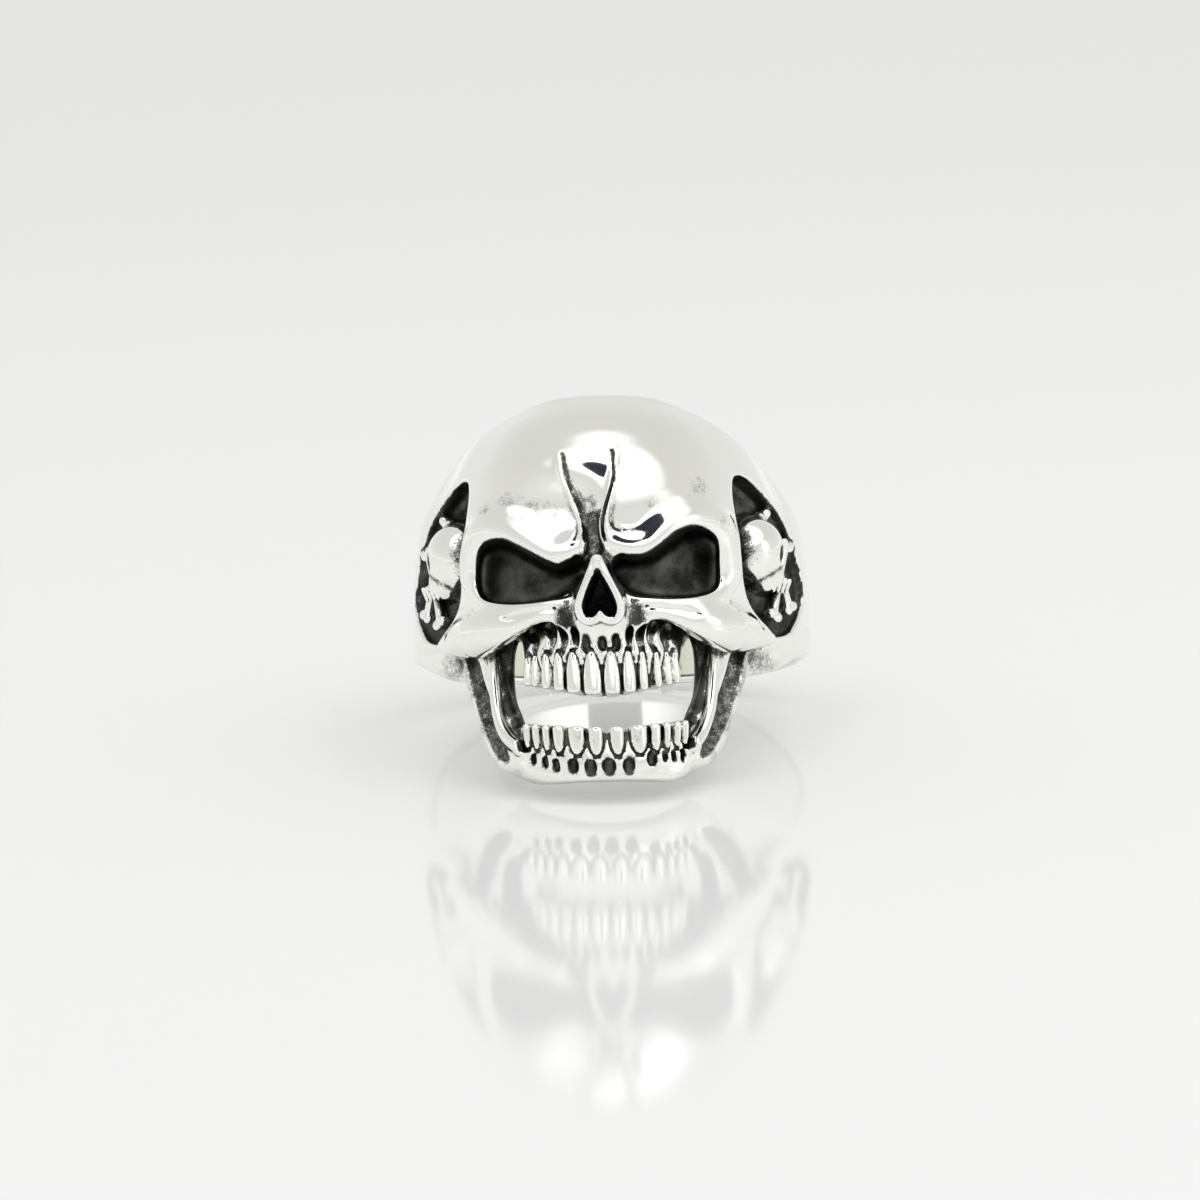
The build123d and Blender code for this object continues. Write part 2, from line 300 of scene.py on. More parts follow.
    def surface(self) -> tuple[np.ndarray, np.ndarray]:
        """Mesh the body's surface, as points and four-sided faces."""
        band = 4 * self.pitch
        made = openvdb.FloatGrid(band)
        made.copyFromArray(np.clip(self.body, -band, band).astype(np.float32))
        made.transform = openvdb.createLinearTransform(self.pitch)
        points, quads = made.convertToQuads(0.0)
        return points.astype(float) + self.low, quads.astype(int)


@dataclass
class Shell:
    """Outer form of the band and cranium about the finger hole."""

    finger_radius: float = 10.3
    band_radius: float = 11.25
    crown_height: float = 13.4
    face_half_width: float = 7.7
    face_thickness: float = 6.7
    bore_round: float = 0.35
    rim_round: float = 0.7
    # level, half width at the finger's axis, temple across, temple out and middle out, as shares
    sections: tuple[Row, ...] = (
        (0.00, 0.985, 0.890, 0.007, 0.440),
        (0.18, 0.991, 0.990, 0.225, 0.900),
        (0.36, 0.980, 0.985, 0.327, 1.000),
        (0.55, 0.948, 0.955, 0.260, 1.025),
        (0.73, 0.853, 0.840, 0.190, 0.886),
        (0.88, 0.748, 0.658, 0.110, 0.620),
        (1.00, 0.620, 0.375, 0.033, 0.150),
    )

    def measures(self, level: np.ndarray) -> np.ndarray:
        """Return half width, temple across, temple out and middle out in mm at each level."""
        table = np.array(self.sections)
        shares = curve_through(table[:, 0], table[:, 1:], np.atleast_1d(level) / self.crown_height)
        return np.stack([shares[:, 0] * self.band_radius, shares[:, 1] * self.face_half_width,
                         self.finger_radius + shares[:, 2] * self.face_thickness,
                         self.finger_radius + shares[:, 3] * self.face_thickness], axis=1)

    def front(self, across: float, level: float) -> float:
        """Return how far out the face's plain surface stands at a place."""
        _, temple, temple_out, middle = self.measures(np.array([max(level, 0.0)]))[0]
        sag = middle - temple_out
        bow = (temple**2 + sag**2) / (2 * sag)
        return middle - bow + math.sqrt(max(bow**2 - across**2, 0.0))

    def on_face(self, side: Side, rows: tuple[Row, ...]) -> tuple[np.ndarray, np.ndarray]:
        """Lay a strand on the face from rows of across, level, lift of its crest and radius.

        Returns:
            The strand's centres and its radii.
        """
        centres = [(side.value * across, self.front(across, level) + lift - radius, level)
                   for across, level, lift, radius in rows]
        return np.array(centres), np.array([row[3] for row in rows])

    def turned(self, angles: np.ndarray, levels: np.ndarray) -> np.ndarray:
        """Return the outer radius for each level and each angle from the middle of the face."""
        found = []
        for side, temple, temple_out, middle in self.measures(levels):
            cheek = ((side - temple) ** 2 + temple_out**2) / (2 * max(side - temple, 1e-3))
            sag = middle - temple_out
            bow = (temple**2 + sag**2) / (2 * sag)
            toward = np.cos(angles)
            flank = np.sin(angles) * (side - cheek)
            flank += np.sqrt(np.maximum(flank**2 - (side - cheek) ** 2 + cheek**2, 0))
            brow = toward * (middle - bow)
            brow += np.sqrt(np.maximum(brow**2 - (middle - bow) ** 2 + bow**2, 0))
            corner = math.atan2(temple, temple_out)
            line = np.where(angles < corner, brow, flank)
            line = np.where(angles > math.pi / 2, side, line)
            found.append(line)
        table = np.array(found)
        step = angles[1] - angles[0]
        reach = int(math.radians(9) / step)
        weights = np.exp(-0.5 * (np.arange(-reach, reach + 1) * step / math.radians(3.2)) ** 2)
        weights /= weights.sum()
        padded = np.concatenate([table[:, reach:0:-1], table, table[:, -2:-reach - 2:-1]], axis=1)
        return np.stack([np.convolve(row, weights, mode="valid") for row in padded])

    def model(self, clay: Clay) -> None:
        """Fill the clay with the band and the plain cranium, the finger hole still closed."""
        x, y, z = clay.axes
        angles = np.linspace(0, math.pi, 361)
        levels = np.clip(z, 0, self.crown_height)
        radius = self.turned(angles, levels)
        around = np.abs(np.arctan2(x[:, None], y[None, :]))
        reach = np.hypot(x[:, None], y[None, :])
        slope_up = np.gradient(radius, np.maximum(z[1] - z[0], 1e-6), axis=0)
        slope_up[(z < 0) | (z > self.crown_height)] = 0
        slope_round = np.gradient(radius, angles[1] - angles[0], axis=1) / radius
        steep = np.sqrt(1 + slope_up**2 + slope_round**2)
        for n in range(len(z)):
            out = reach - np.interp(around, angles, radius[n])
            clay.body[:, :, n] = out / np.interp(around, angles, steep[n])
        _, out, level = clay.places(WHOLE)
        clay.body = meet(clay.body, -level, self.rim_round)
        rim = self.rim_level(-out)
        slope = np.sqrt(1 + np.gradient(rim[0, :, 0], clay.pitch) ** 2)[None, :, None]
        round_off = self.rim_round * (0.8 - 0.45 * ease(6.0, 10.0, out))
        clay.body = meet(clay.body, (level - rim) / slope, round_off).astype(np.float32)

    def rim_level(self, back: np.ndarray) -> np.ndarray:
        """Return the height of the band's upper edge from how far back a place lies."""
        knots = np.array([-11.4, -10.6, -9.4, -7.6, -5.0, -2.0, 1.125, 3.2, 5.4, 7.2, 8.6, 12.0])
        heights = np.array([13.45, 13.25, 12.62, 11.63, 10.15, 8.45, 6.9, 6.2, 5.76, 5.62, 5.6, 5.6])
        return curve_through(knots, heights, back.ravel())[:, 0].reshape(back.shape)

    def bore(self, clay: Clay) -> None:
        """Open the finger hole."""
        across, out, _ = clay.places(WHOLE)
        clay.carve((WHOLE, np.hypot(across, out) - self.finger_radius), self.bore_round)


@dataclass
class Brows:
    """Brow rolls, the frown ridges that climb from their inner ends, and the hollows round them."""

    shell: Shell
    # across, level, lift of the crest and radius
    rolls: dict[Side, tuple[Row, ...]] = field(default_factory=lambda: {
        Side.LEFT: ((0.75, 4.22, 0.10, 0.34), (1.20, 4.02, 0.34, 0.50), (1.75, 3.78, 0.48, 0.60),
                    (2.35, 3.74, 0.50, 0.66), (2.95, 4.04, 0.48, 0.70), (3.60, 4.52, 0.44, 0.76),
                    (4.30, 4.98, 0.38, 0.85), (5.10, 5.34, 0.32, 0.95), (5.95, 5.36, 0.28, 0.95),
                    (6.60, 4.92, 0.22, 0.80), (6.98, 4.10, 0.16, 0.62), (7.08, 3.20, 0.12, 0.50)),
        Side.RIGHT: ((0.62, 4.55, 0.10, 0.34), (1.20, 4.18, 0.34, 0.48), (1.95, 4.02, 0.48, 0.60),
                     (2.70, 4.20, 0.50, 0.66), (3.35, 4.74, 0.46, 0.70), (4.05, 5.28, 0.42, 0.78),
                     (4.85, 5.68, 0.36, 0.88), (5.60, 5.78, 0.30, 0.95), (6.25, 5.48, 0.26, 0.90),
                     (6.66, 4.80, 0.20, 0.74), (6.86, 3.95, 0.14, 0.60), (6.94, 3.05, 0.12, 0.50)),
    })
    frowns: dict[Side, tuple[Row, ...]] = field(default_factory=lambda: {
        Side.LEFT: ((0.98, 3.95, 0.20, 0.36), (0.80, 4.50, 0.30, 0.34), (0.72, 5.20, 0.34, 0.30),
                    (0.86, 5.75, 0.33, 0.27), (1.16, 6.35, 0.30, 0.24), (1.42, 7.10, 0.25, 0.20),
                    (1.66, 7.85, 0.17, 0.16), (1.78, 8.60, 0.06, 0.14), (1.86, 9.15, -0.16, 0.12)),
        Side.RIGHT: ((0.75, 4.05, 0.22, 0.36), (0.52, 4.55, 0.30, 0.32), (0.43, 5.20, 0.33, 0.28),
                     (0.58, 6.00, 0.32, 0.24), (0.88, 7.05, 0.28, 0.20), (1.08, 8.05, 0.20, 0.16),
                     (1.28, 8.85, 0.06, 0.14), (1.32, 9.50, -0.16, 0.12)),
    })
    # soot, then across, level, depth and half width of each crease
    creases: tuple[tuple[Side, float, tuple[Row, ...]], ...] = (
        (Side.LEFT, 0.8, ((1.66, 9.40, 0.03, 0.04), (1.60, 9.05, 0.12, 0.05), (1.50, 8.40, 0.18, 0.06),
                          (1.38, 7.80, 0.22, 0.065), (1.20, 7.10, 0.26, 0.07), (0.92, 6.40, 0.30, 0.075),
                          (0.70, 5.70, 0.32, 0.08), (0.60, 5.00, 0.28, 0.08), (0.62, 4.40, 0.16, 0.06))),
        (Side.LEFT, 0.6, ((1.50, 6.90, 0.02, 0.04), (1.38, 6.40, 0.08, 0.04), (1.18, 5.80, 0.13, 0.045),
                          (1.06, 5.30, 0.16, 0.05), (1.04, 4.80, 0.16, 0.05), (1.18, 4.45, 0.08, 0.04))),
        (Side.RIGHT, 0.8, ((1.10, 9.55, 0.03, 0.04), (1.16, 9.00, 0.12, 0.045), (1.16, 8.40, 0.18, 0.05),
                           (1.08, 7.70, 0.22, 0.06), (0.88, 7.00, 0.26, 0.065), (0.62, 6.20, 0.30, 0.075),
                           (0.42, 5.50, 0.32, 0.08), (0.38, 4.90, 0.28, 0.08), (0.46, 4.40, 0.16, 0.06))),
        (Side.RIGHT, 0.5, ((1.10, 6.30, 0.03, 0.04), (0.98, 5.90, 0.12, 0.05), (0.90, 5.40, 0.20, 0.06),
                           (1.00, 5.05, 0.22, 0.07), (1.40, 4.88, 0.12, 0.05))),
    )
    # across, level and half width of the furrow between the frown ridges
    channel: tuple[Row, ...] = ((-0.10, 3.30, 0.46), (-0.14, 4.20, 0.56), (-0.14, 5.00, 0.54),
                                (-0.10, 5.80, 0.40), (-0.06, 6.60, 0.16))
    channel_depth: float = 0.50
    # across, level, half width, half height and depth of the soft hollow over the left roll
    hollow: Row = (-3.40, 6.50, 3.2, 1.35, 0.22)
    hollow_blend: float = 1.8
    # how far hollow and tarnish reach along the face's depth
    reach: float = 1.6
    roll_blend: float = 0.85
    frown_blend: float = 0.22
    crease_blend: float = 0.10
    crease_lift: float = 0.12
    # across, level, half width, half height and amount of the tarnish on the forehead and by the eyes
    stains: tuple[Row, ...] = (
        (-3.60, 6.30, 2.8, 1.2, 0.46), (-2.50, 5.90, 1.4, 0.8, 0.50), (-4.80, 7.00, 1.7, 0.8, 0.42),
        (5.60, 7.60, 1.0, 1.3, 0.40), (1.70, 4.95, 1.0, 0.5, 0.52), (-6.20, 6.60, 0.9, 0.7, 0.44),
        (-0.10, 6.60, 0.55, 1.1, 0.52), (3.60, 6.40, 2.2, 0.7, 0.38), (-2.20, 1.05, 1.2, 0.6, 0.62),
        (2.30, 1.00, 1.2, 0.6, 0.60), (6.50, 5.60, 1.0, 1.0, 0.40), (5.40, 2.00, 1.2, 0.7, 0.40),
    )

    def model(self, clay: Clay) -> None:
        """Raise the rolls and ridges and press in the hollows and creases."""
        across, level, wide, tall, depth = self.hollow
        centre = (across, self.shell.front(abs(across), level) + self.reach - depth, level)
        clay.carve(clay.ball(centre, (wide, self.reach, tall), 2.0), self.hollow_blend)
        for side, rows in self.rolls.items():
            clay.add(clay.strand(*self.shell.on_face(side, rows), 1.2), self.roll_blend)
        centres = np.array([(x, self.shell.front(abs(x), z) + 0.05, z) for x, z, _ in self.channel])
        radii = np.array([r for *_, r in self.channel])
        furrow = clay.strand(centres, radii, 0.8, np.minimum(radii * 1.3, self.channel_depth))
        clay.carve(furrow, 0.30, 0.55)
        for side, rows in self.frowns.items():
            clay.add(clay.strand(*self.shell.on_face(side, rows), 0.6), self.frown_blend)
        for side, soot, rows in self.creases:
            lift = self.crease_lift
            centres = np.array([(side.value * x, self.shell.front(x, z) + lift, z) for x, z, *_ in rows])
            depths = np.array([row[2] + lift for row in rows])
            turns = np.array([side.value * 6.0 * row[0] for row in rows])
            widths = np.array([row[3] for row in rows])
            clay.carve(clay.strand(centres, widths, 0.5, depths, turns), self.crease_blend, soot)
        for across, level, wide, tall, amount in self.stains:
            clay.stain((across, self.shell.front(across, level), level), (wide, self.reach, tall), amount)


@dataclass
class Cheeks:
    """Cheekbones: the body that sweeps back to the band, and the two thin rims at its inner end."""

    shell: Shell
    # across, out, level and radius
    bodies: tuple[Row, ...] = (
        (4.30, 14.75, 0.62, 0.55), (5.20, 14.35, 0.42, 0.85), (6.05, 13.45, 0.25, 1.10),
        (6.85, 12.15, 0.10, 1.20), (7.50, 10.75, 0.06, 1.10), (8.10, 9.35, 0.05, 0.80),
        (8.80, 7.80, 0.20, 0.45),
    )
    orbit_rims: tuple[Row, ...] = (
        (1.35, 15.85, 1.50, 0.26), (1.95, 15.95, 1.18, 0.32), (2.80, 15.80, 1.05, 0.38),
        (3.85, 15.30, 1.05, 0.44), (4.80, 14.70, 1.12, 0.52), (5.70, 13.95, 1.40, 0.62),
        (6.40, 13.15, 2.00, 0.70), (6.85, 12.70, 2.90, 0.62),
    )
    lower_rims: tuple[Row, ...] = (
        (1.98, 15.70, -1.25, 0.14), (2.08, 15.75, -0.55, 0.20), (2.22, 15.75, 0.05, 0.25),
        (2.60, 15.72, 0.42, 0.29), (3.15, 15.62, 0.52, 0.33), (3.75, 15.40, 0.42, 0.38),
        (4.40, 15.05, 0.18, 0.46), (5.10, 14.60, -0.02, 0.62), (5.90, 13.85, -0.12, 0.85),
        (6.80, 12.55, -0.15, 1.05),
    )
    groove: tuple[Row, ...] = (
        (2.30, 16.05, 0.90, 0.10), (3.10, 16.10, 0.80, 0.14), (3.90, 15.85, 0.72, 0.15),
        (4.70, 15.45, 0.62, 0.12), (5.30, 15.15, 0.52, 0.07),
    )

    # across, out, level and radii of the slope between the nose and each rim
    slope: tuple[float, ...] = (1.72, 15.75, 0.30, 0.62, 0.75, 0.95)

    def model(self, clay: Clay) -> None:
        """Add both cheekbones and the slopes between them and the nose."""
        for side in Side:
            for rows, blend in ((self.bodies, 0.9), (self.orbit_rims, 0.45), (self.lower_rims, 0.4)):
                clay.add(clay.strand(*mirrored(side, rows), 1.2), blend)
            clay.carve(clay.strand(*mirrored(side, self.groove), 0.5), 0.14)
            across, out, level, *radii = self.slope
            clay.add(clay.ball((side.value * across, out, level), tuple(radii), 0.8), 0.45, 0.8)


@dataclass
class Sockets:
    """Eye sockets, let straight back into the face down to a bowed floor."""

    front: float = 17.0
    depth: float = 2.9
    floor_bow: float = 0.048
    floor_round: float = 0.8
    edge: float = 0.22
    # across and level, from the inner corner over the top
    outlines: dict[Side, tuple[Row, ...]] = field(default_factory=lambda: {
        Side.LEFT: ((0.55, 3.02), (0.98, 3.55), (1.55, 3.32), (2.25, 3.12), (3.05, 3.50), (4.15, 4.18),
                    (5.10, 4.70), (6.00, 4.74), (6.55, 4.36), (6.74, 3.40), (6.66, 2.25), (6.10, 1.62),
                    (4.50, 1.32), (2.80, 1.45), (1.62, 1.90), (0.95, 2.45)),
        Side.RIGHT: ((0.75, 3.10), (1.20, 3.55), (1.90, 3.50), (2.70, 3.62), (3.50, 4.15), (4.40, 4.88),
                     (5.30, 5.22), (6.05, 5.06), (6.42, 4.58), (6.44, 3.50), (6.36, 2.40), (5.85, 1.80),
                     (4.45, 1.50), (2.80, 1.48), (1.65, 1.75), (1.00, 2.40)),
    })

    def model(self, clay: Clay) -> None:
        """Carve both sockets."""
        for side, outline in self.outlines.items():
            inner, outer = (-8.0, -0.2) if side is Side.LEFT else (0.2, 8.0)
            window = clay.window((inner, 10.4, 0.6), (outer, 18.4, 6.2))
            x, y, z = clay.places(window)
            flat = closed_outline(side.value * x[:, 0, 0], z[0, 0, :], smooth_loop(outline, 8))
            floor = self.front - self.depth - self.floor_bow * x**2 - y
            clay.carve((window, meet(flat[:, None, :], floor, self.floor_round)), self.edge, 0.95)


def smooth_loop(points: tuple[Row, ...], steps: int) -> np.ndarray:
    """Round a closed outline into a smooth one, with steps points to each span."""
    base = np.array(points)
    count = len(base)
    wrapped = np.concatenate([base[-3:], base, base[:4]])
    at = np.arange(count * steps) / steps + 3
    return curve_through(np.arange(len(wrapped)).astype(float), wrapped, at)


def closed_outline(across: np.ndarray, level: np.ndarray, loop: np.ndarray) -> np.ndarray:
    """Return each grid place's distance to a closed outline, negative inside."""
    x, z = across[:, None], level[None, :]
    best = np.full((len(across), len(level)), 99.0)
    inside = np.zeros(best.shape, bool)
    for a, b in zip(loop, np.roll(loop, -1, axis=0)):
        along = b - a
        share = np.clip(((x - a[0]) * along[0] + (z - a[1]) * along[1]) / max(along @ along, 1e-9), 0, 1)
        best = np.minimum(best, np.hypot(x - a[0] - share * along[0], z - a[1] - share * along[1]))
        if a[1] != b[1]:
            crosses = ((a[1] > z) != (b[1] > z)) & (x < (b[0] - a[0]) * (z - a[1]) / (b[1] - a[1]) + a[0])
            inside ^= crosses
    return np.where(inside, -best, best)


@dataclass
class Nose:
    """Nose bone with a raised rim round its opening."""

    # level, half width and out of the bone's front
    bone: tuple[Row, ...] = (
        (-1.20, 1.05, 16.35), (-0.70, 1.10, 16.70), (0.00, 1.18, 17.20), (0.60, 1.20, 17.60),
        (1.20, 1.08, 17.85), (1.80, 0.86, 18.00), (2.40, 0.60, 18.08), (2.90, 0.42, 18.05),
        (3.30, 0.30, 17.85), (3.70, 0.24, 17.40), (4.30, 0.20, 16.70),
    )
    # across, level, out and radius of the rim, down one side
    rim: tuple[Row, ...] = (
        (0.00, 3.22, 17.92, 0.26), (0.22, 2.92, 17.92, 0.23), (0.46, 2.40, 17.92, 0.22),
        (0.76, 1.72, 17.82, 0.23), (1.02, 1.10, 17.66, 0.25), (1.12, 0.60, 17.48, 0.26),
        (1.02, 0.18, 17.30, 0.25), (0.70, -0.06, 17.18, 0.24), (0.32, 0.02, 17.20, 0.24),
        (0.00, 0.22, 17.30, 0.25),
    )
    # across and level of the opening, half of its outline
    opening: tuple[Row, ...] = (
        (0.00, 2.62), (0.22, 2.28), (0.50, 1.70), (0.76, 1.12), (0.86, 0.66), (0.72, 0.36),
        (0.46, 0.26), (0.22, 0.40), (0.00, 0.58),
    )
    opening_floor: float = 15.0
    # how much wider the bone gets for each mm back from its front
    flare: float = 0.22

    def model(self, clay: Clay) -> None:
        """Add the bone and its rim, and open the nostril."""
        window = clay.window((-2.6, 13.6, -1.6), (2.6, 18.5, 5.2))
        x, y, z = clay.places(window)
        half, front = by_level(self.bone, z)
        flare = self.flare * np.maximum(front - y, 0)
        part = meet((np.abs(x) - half - flare) * 0.95, y - front + 0.25 * x**2, 0.35)
        clay.add((window, meet(part, np.maximum(-1.1 - z, z - 3.7), 0.4)), 0.35)
        for side in Side:
            rows = np.array(self.rim)
            clay.add(clay.strand(rows[:, [0, 2, 1]] * (side.value, 1, 1), rows[:, 3], 0.6), 0.16)
        half_loop = [*self.opening, *[(-a, b) for a, b in reversed(self.opening[1:-1])]]
        window = clay.window((-1.6, 14.0, -0.2), (1.6, 18.6, 3.2))
        x, y, z = clay.places(window)
        flat = closed_outline(x[:, 0, 0], z[0, 0, :], smooth_loop(tuple(half_loop), 6))
        clay.carve((window, np.maximum(flat[:, None, :], self.opening_floor - y)), 0.14, 1.0)


@dataclass
class ToothRow:
    """Teeth along an oval arch, each set in an outline let into the gum."""

    half_width: float
    depth: float
    reach: float
    # across and half width seen from the front, left to right
    teeth: tuple[Row, ...]
    # level of a tooth's edge and of its root at the middle, and their rise towards the sides
    edge: float
    root: float
    edge_rise: float
    root_rise: float
    # share of the height from the edge, and share of the width there
    profile: tuple[Row, ...]
    outline: float = 0.11
    outline_depth: float = 0.10
    end_round: float = 0.20
    thick: float = 0.34

    def shape(self, clay: Clay, across: float, seen: float, mould: bool) -> Shape:
        """Shape a tooth, or the mould round it that is cut out of the gum first."""
        out, turn = on_arch(across, self.half_width, self.reach, self.depth)
        share = (across / self.half_width) ** 2
        edge, root = self.edge + self.edge_rise * share, self.root + self.root_rise * share
        wide = max((seen - 0.5 * self.thick * abs(math.sin(turn))) / max(math.cos(turn), 0.5), 0.20)
        grow = self.outline if mould else 0.0
        centre = np.array([across, out - self.thick, (edge + root) / 2])
        reach = np.array([wide + 0.5, wide + 0.7, abs(edge - root) / 2 + 0.3])
        window = clay.window(centre - reach, centre + reach)
        x, y, z = clay.places(window)
        s = (x - centre[0]) * math.cos(turn) - (y - centre[1]) * math.sin(turn)
        t = (x - centre[0]) * math.sin(turn) + (y - centre[1]) * math.cos(turn)
        height = (z - edge) / (root - edge)
        table = np.array(self.profile)
        width = wide * curve_through(table[:, 0], table[:, 1], height.ravel())[:, 0]
        side = (np.abs(s) - width.reshape(height.shape) - grow) * 0.92
        tall = abs(root - edge)
        ends = np.maximum(-height * tall, (height - 1) * tall) - grow
        if mould:
            return window, np.maximum(np.maximum(side, ends), self.outline_depth - self.thick - t)
        face = self.thick * (1 - 0.35 * np.clip(height, 0, 1) ** 2) - 0.40 * s**2 / wide
        part = meet(side, t - face, 0.10)
        return window, meet(part, ends, self.end_round).astype(np.float32)

    def model(self, clay: Clay) -> None:
        """Cut every outline, set every tooth and blacken the lines round them."""
        for across, seen in self.teeth:
            clay.carve(self.shape(clay, across, seen, True), 0.06, 0.85)
        set_teeth = [self.shape(clay, across, seen, False) for across, seen in self.teeth]
        for tooth in set_teeth:
            clay.add(tooth, 0.04)
        for window, part in set_teeth:
            line = ease(0.0, 0.05, part) * ease(self.outline + 0.10, self.outline + 0.02, part)
            clay.soot[window] = np.maximum(clay.soot[window], 0.95 * line)


@dataclass
class UpperJaw:
    """Upper jaw: a gum with flutes that climb to the cheekbones, and its teeth."""

    arch_depth: float = 3.3
    # level, half width and out of the gum's front
    gum: tuple[Row, ...] = (
        (-4.00, 3.80, 16.10), (-2.40, 4.08, 16.44), (-1.60, 4.22, 16.56), (-0.90, 4.30, 16.30),
        (0.00, 4.45, 15.80), (1.00, 4.45, 15.30), (2.40, 3.70, 14.70),
    )
    # soot, then across and level of each flute's foot, middle and head, and its half width
    flutes: tuple[Row, ...] = (
        (0.70, -3.98, -1.45, -3.78, -0.80, -3.95, -0.15, 0.30),
        (0.60, -3.00, -1.45, -2.78, -0.75, -3.02, 0.05, 0.23),
        (0.55, -2.30, -1.50, -2.06, -0.70, -2.26, 0.35, 0.22),
        (0.45, -1.50, -1.25, -1.44, -0.60, -1.50, 0.10, 0.20),
        (0.45, 1.52, -1.40, 1.46, -0.70, 1.56, 0.05, 0.17),
        (0.55, 2.20, -1.50, 2.02, -0.70, 2.26, 0.35, 0.22),
        (0.55, 2.84, -1.45, 2.62, -0.75, 2.86, 0.05, 0.22),
        (0.70, 3.66, -1.45, 3.46, -0.80, 3.70, -0.15, 0.32),
    )
    # across, level, half width and half height of the dimples under the nose
    dimples: tuple[Row, ...] = (
        (-0.92, -1.16, 0.26, 0.50), (0.00, -1.20, 0.25, 0.40), (0.76, -1.14, 0.24, 0.48),
    )
    row: ToothRow = field(default_factory=lambda: ToothRow(
        half_width=4.25, depth=3.4, reach=16.72,
        teeth=((-4.04, 0.16), (-3.68, 0.25), (-3.12, 0.32), (-2.44, 0.36), (-1.66, 0.44), (-0.65, 0.51),
               (0.41, 0.45), (1.33, 0.38), (2.07, 0.28), (2.80, 0.25), (3.34, 0.21), (3.78, 0.17)),
        edge=-3.97, root=-1.48, edge_rise=0.95, root_rise=0.20,
        profile=((0.0, 0.86), (0.10, 0.96), (0.26, 1.0), (0.47, 0.93), (0.68, 0.76), (0.84, 0.50),
                 (0.95, 0.24), (1.0, 0.10))))

    def arch(self, clay: Clay, window: Window, half: np.ndarray, front: np.ndarray,
             depth: float) -> np.ndarray:
        """Return the distance to a half oval that is open to the back."""
        x, y, _ = clay.places(window)
        ahead = np.maximum(y - (front - depth), 0)
        around = np.sqrt((x / half) ** 2 + (ahead / depth) ** 2)
        return (around - 1) * np.minimum(half, depth)

    def gum_spot(self, across: float, level: float) -> tuple[float, float]:
        """Return how far out the gum stands at a place, and the angle it faces in degrees."""
        table = np.array(self.gum)
        half, front = curve_through(table[:, 0], table[:, 1:], np.array([level]))[0]
        out, turn = on_arch(across, half, front, self.arch_depth, 0.96)
        return out, math.degrees(turn)

    def model(self, clay: Clay) -> None:
        """Add the gum, press in its flutes and dimples and set its teeth."""
        window = clay.window((-5.0, 9.0, -4.1), (5.0, 17.4, 2.6))
        x, y, z = clay.places(window)
        half, front = by_level(self.gum, z)
        part = self.arch(clay, window, half, front, self.arch_depth)
        low = -3.70 + 0.9 * (x / 4.2) ** 2
        part = meet(part, np.maximum(low - z, z - 2.4), 0.4)
        hollow = self.arch(clay, window, np.float32(2.95), np.float32(15.15), 3.0)
        part = meet(part, -meet(hollow, z + 0.6, 0.5), 0.3)
        clay.add((window, meet(part, 9.4 - y, 0.3)), 0.4)
        for soot, foot, foot_level, middle, middle_level, head, head_level, half_width in self.flutes:
            places = ((foot, foot_level), (middle, middle_level), (head, head_level))
            spots = [self.gum_spot(*place) for place in places]
            centres = np.array([(a, out + 0.10, b) for (a, b), (out, _) in zip(places, spots)])
            flute = clay.strand(centres, np.array([0.80, 1.0, 0.9]) * half_width, 0.4,
                                np.array([0.34, 0.40, 0.36]), np.array([turn for _, turn in spots]))
            clay.carve(flute, 0.10, soot)
        for across, level, half_width, half_height in self.dimples:
            out, _ = self.gum_spot(across, level)
            dimple = clay.ball((across, out + 0.12, level), (half_width, 0.45, half_height), 0.3)
            clay.carve(dimple, 0.08, 0.65)
        for side in Side:
            clay.stain((side.value * 1.80, 15.75, 0.20), (1.05, 1.45, 1.80), 1.2)
        self.row.model(clay)


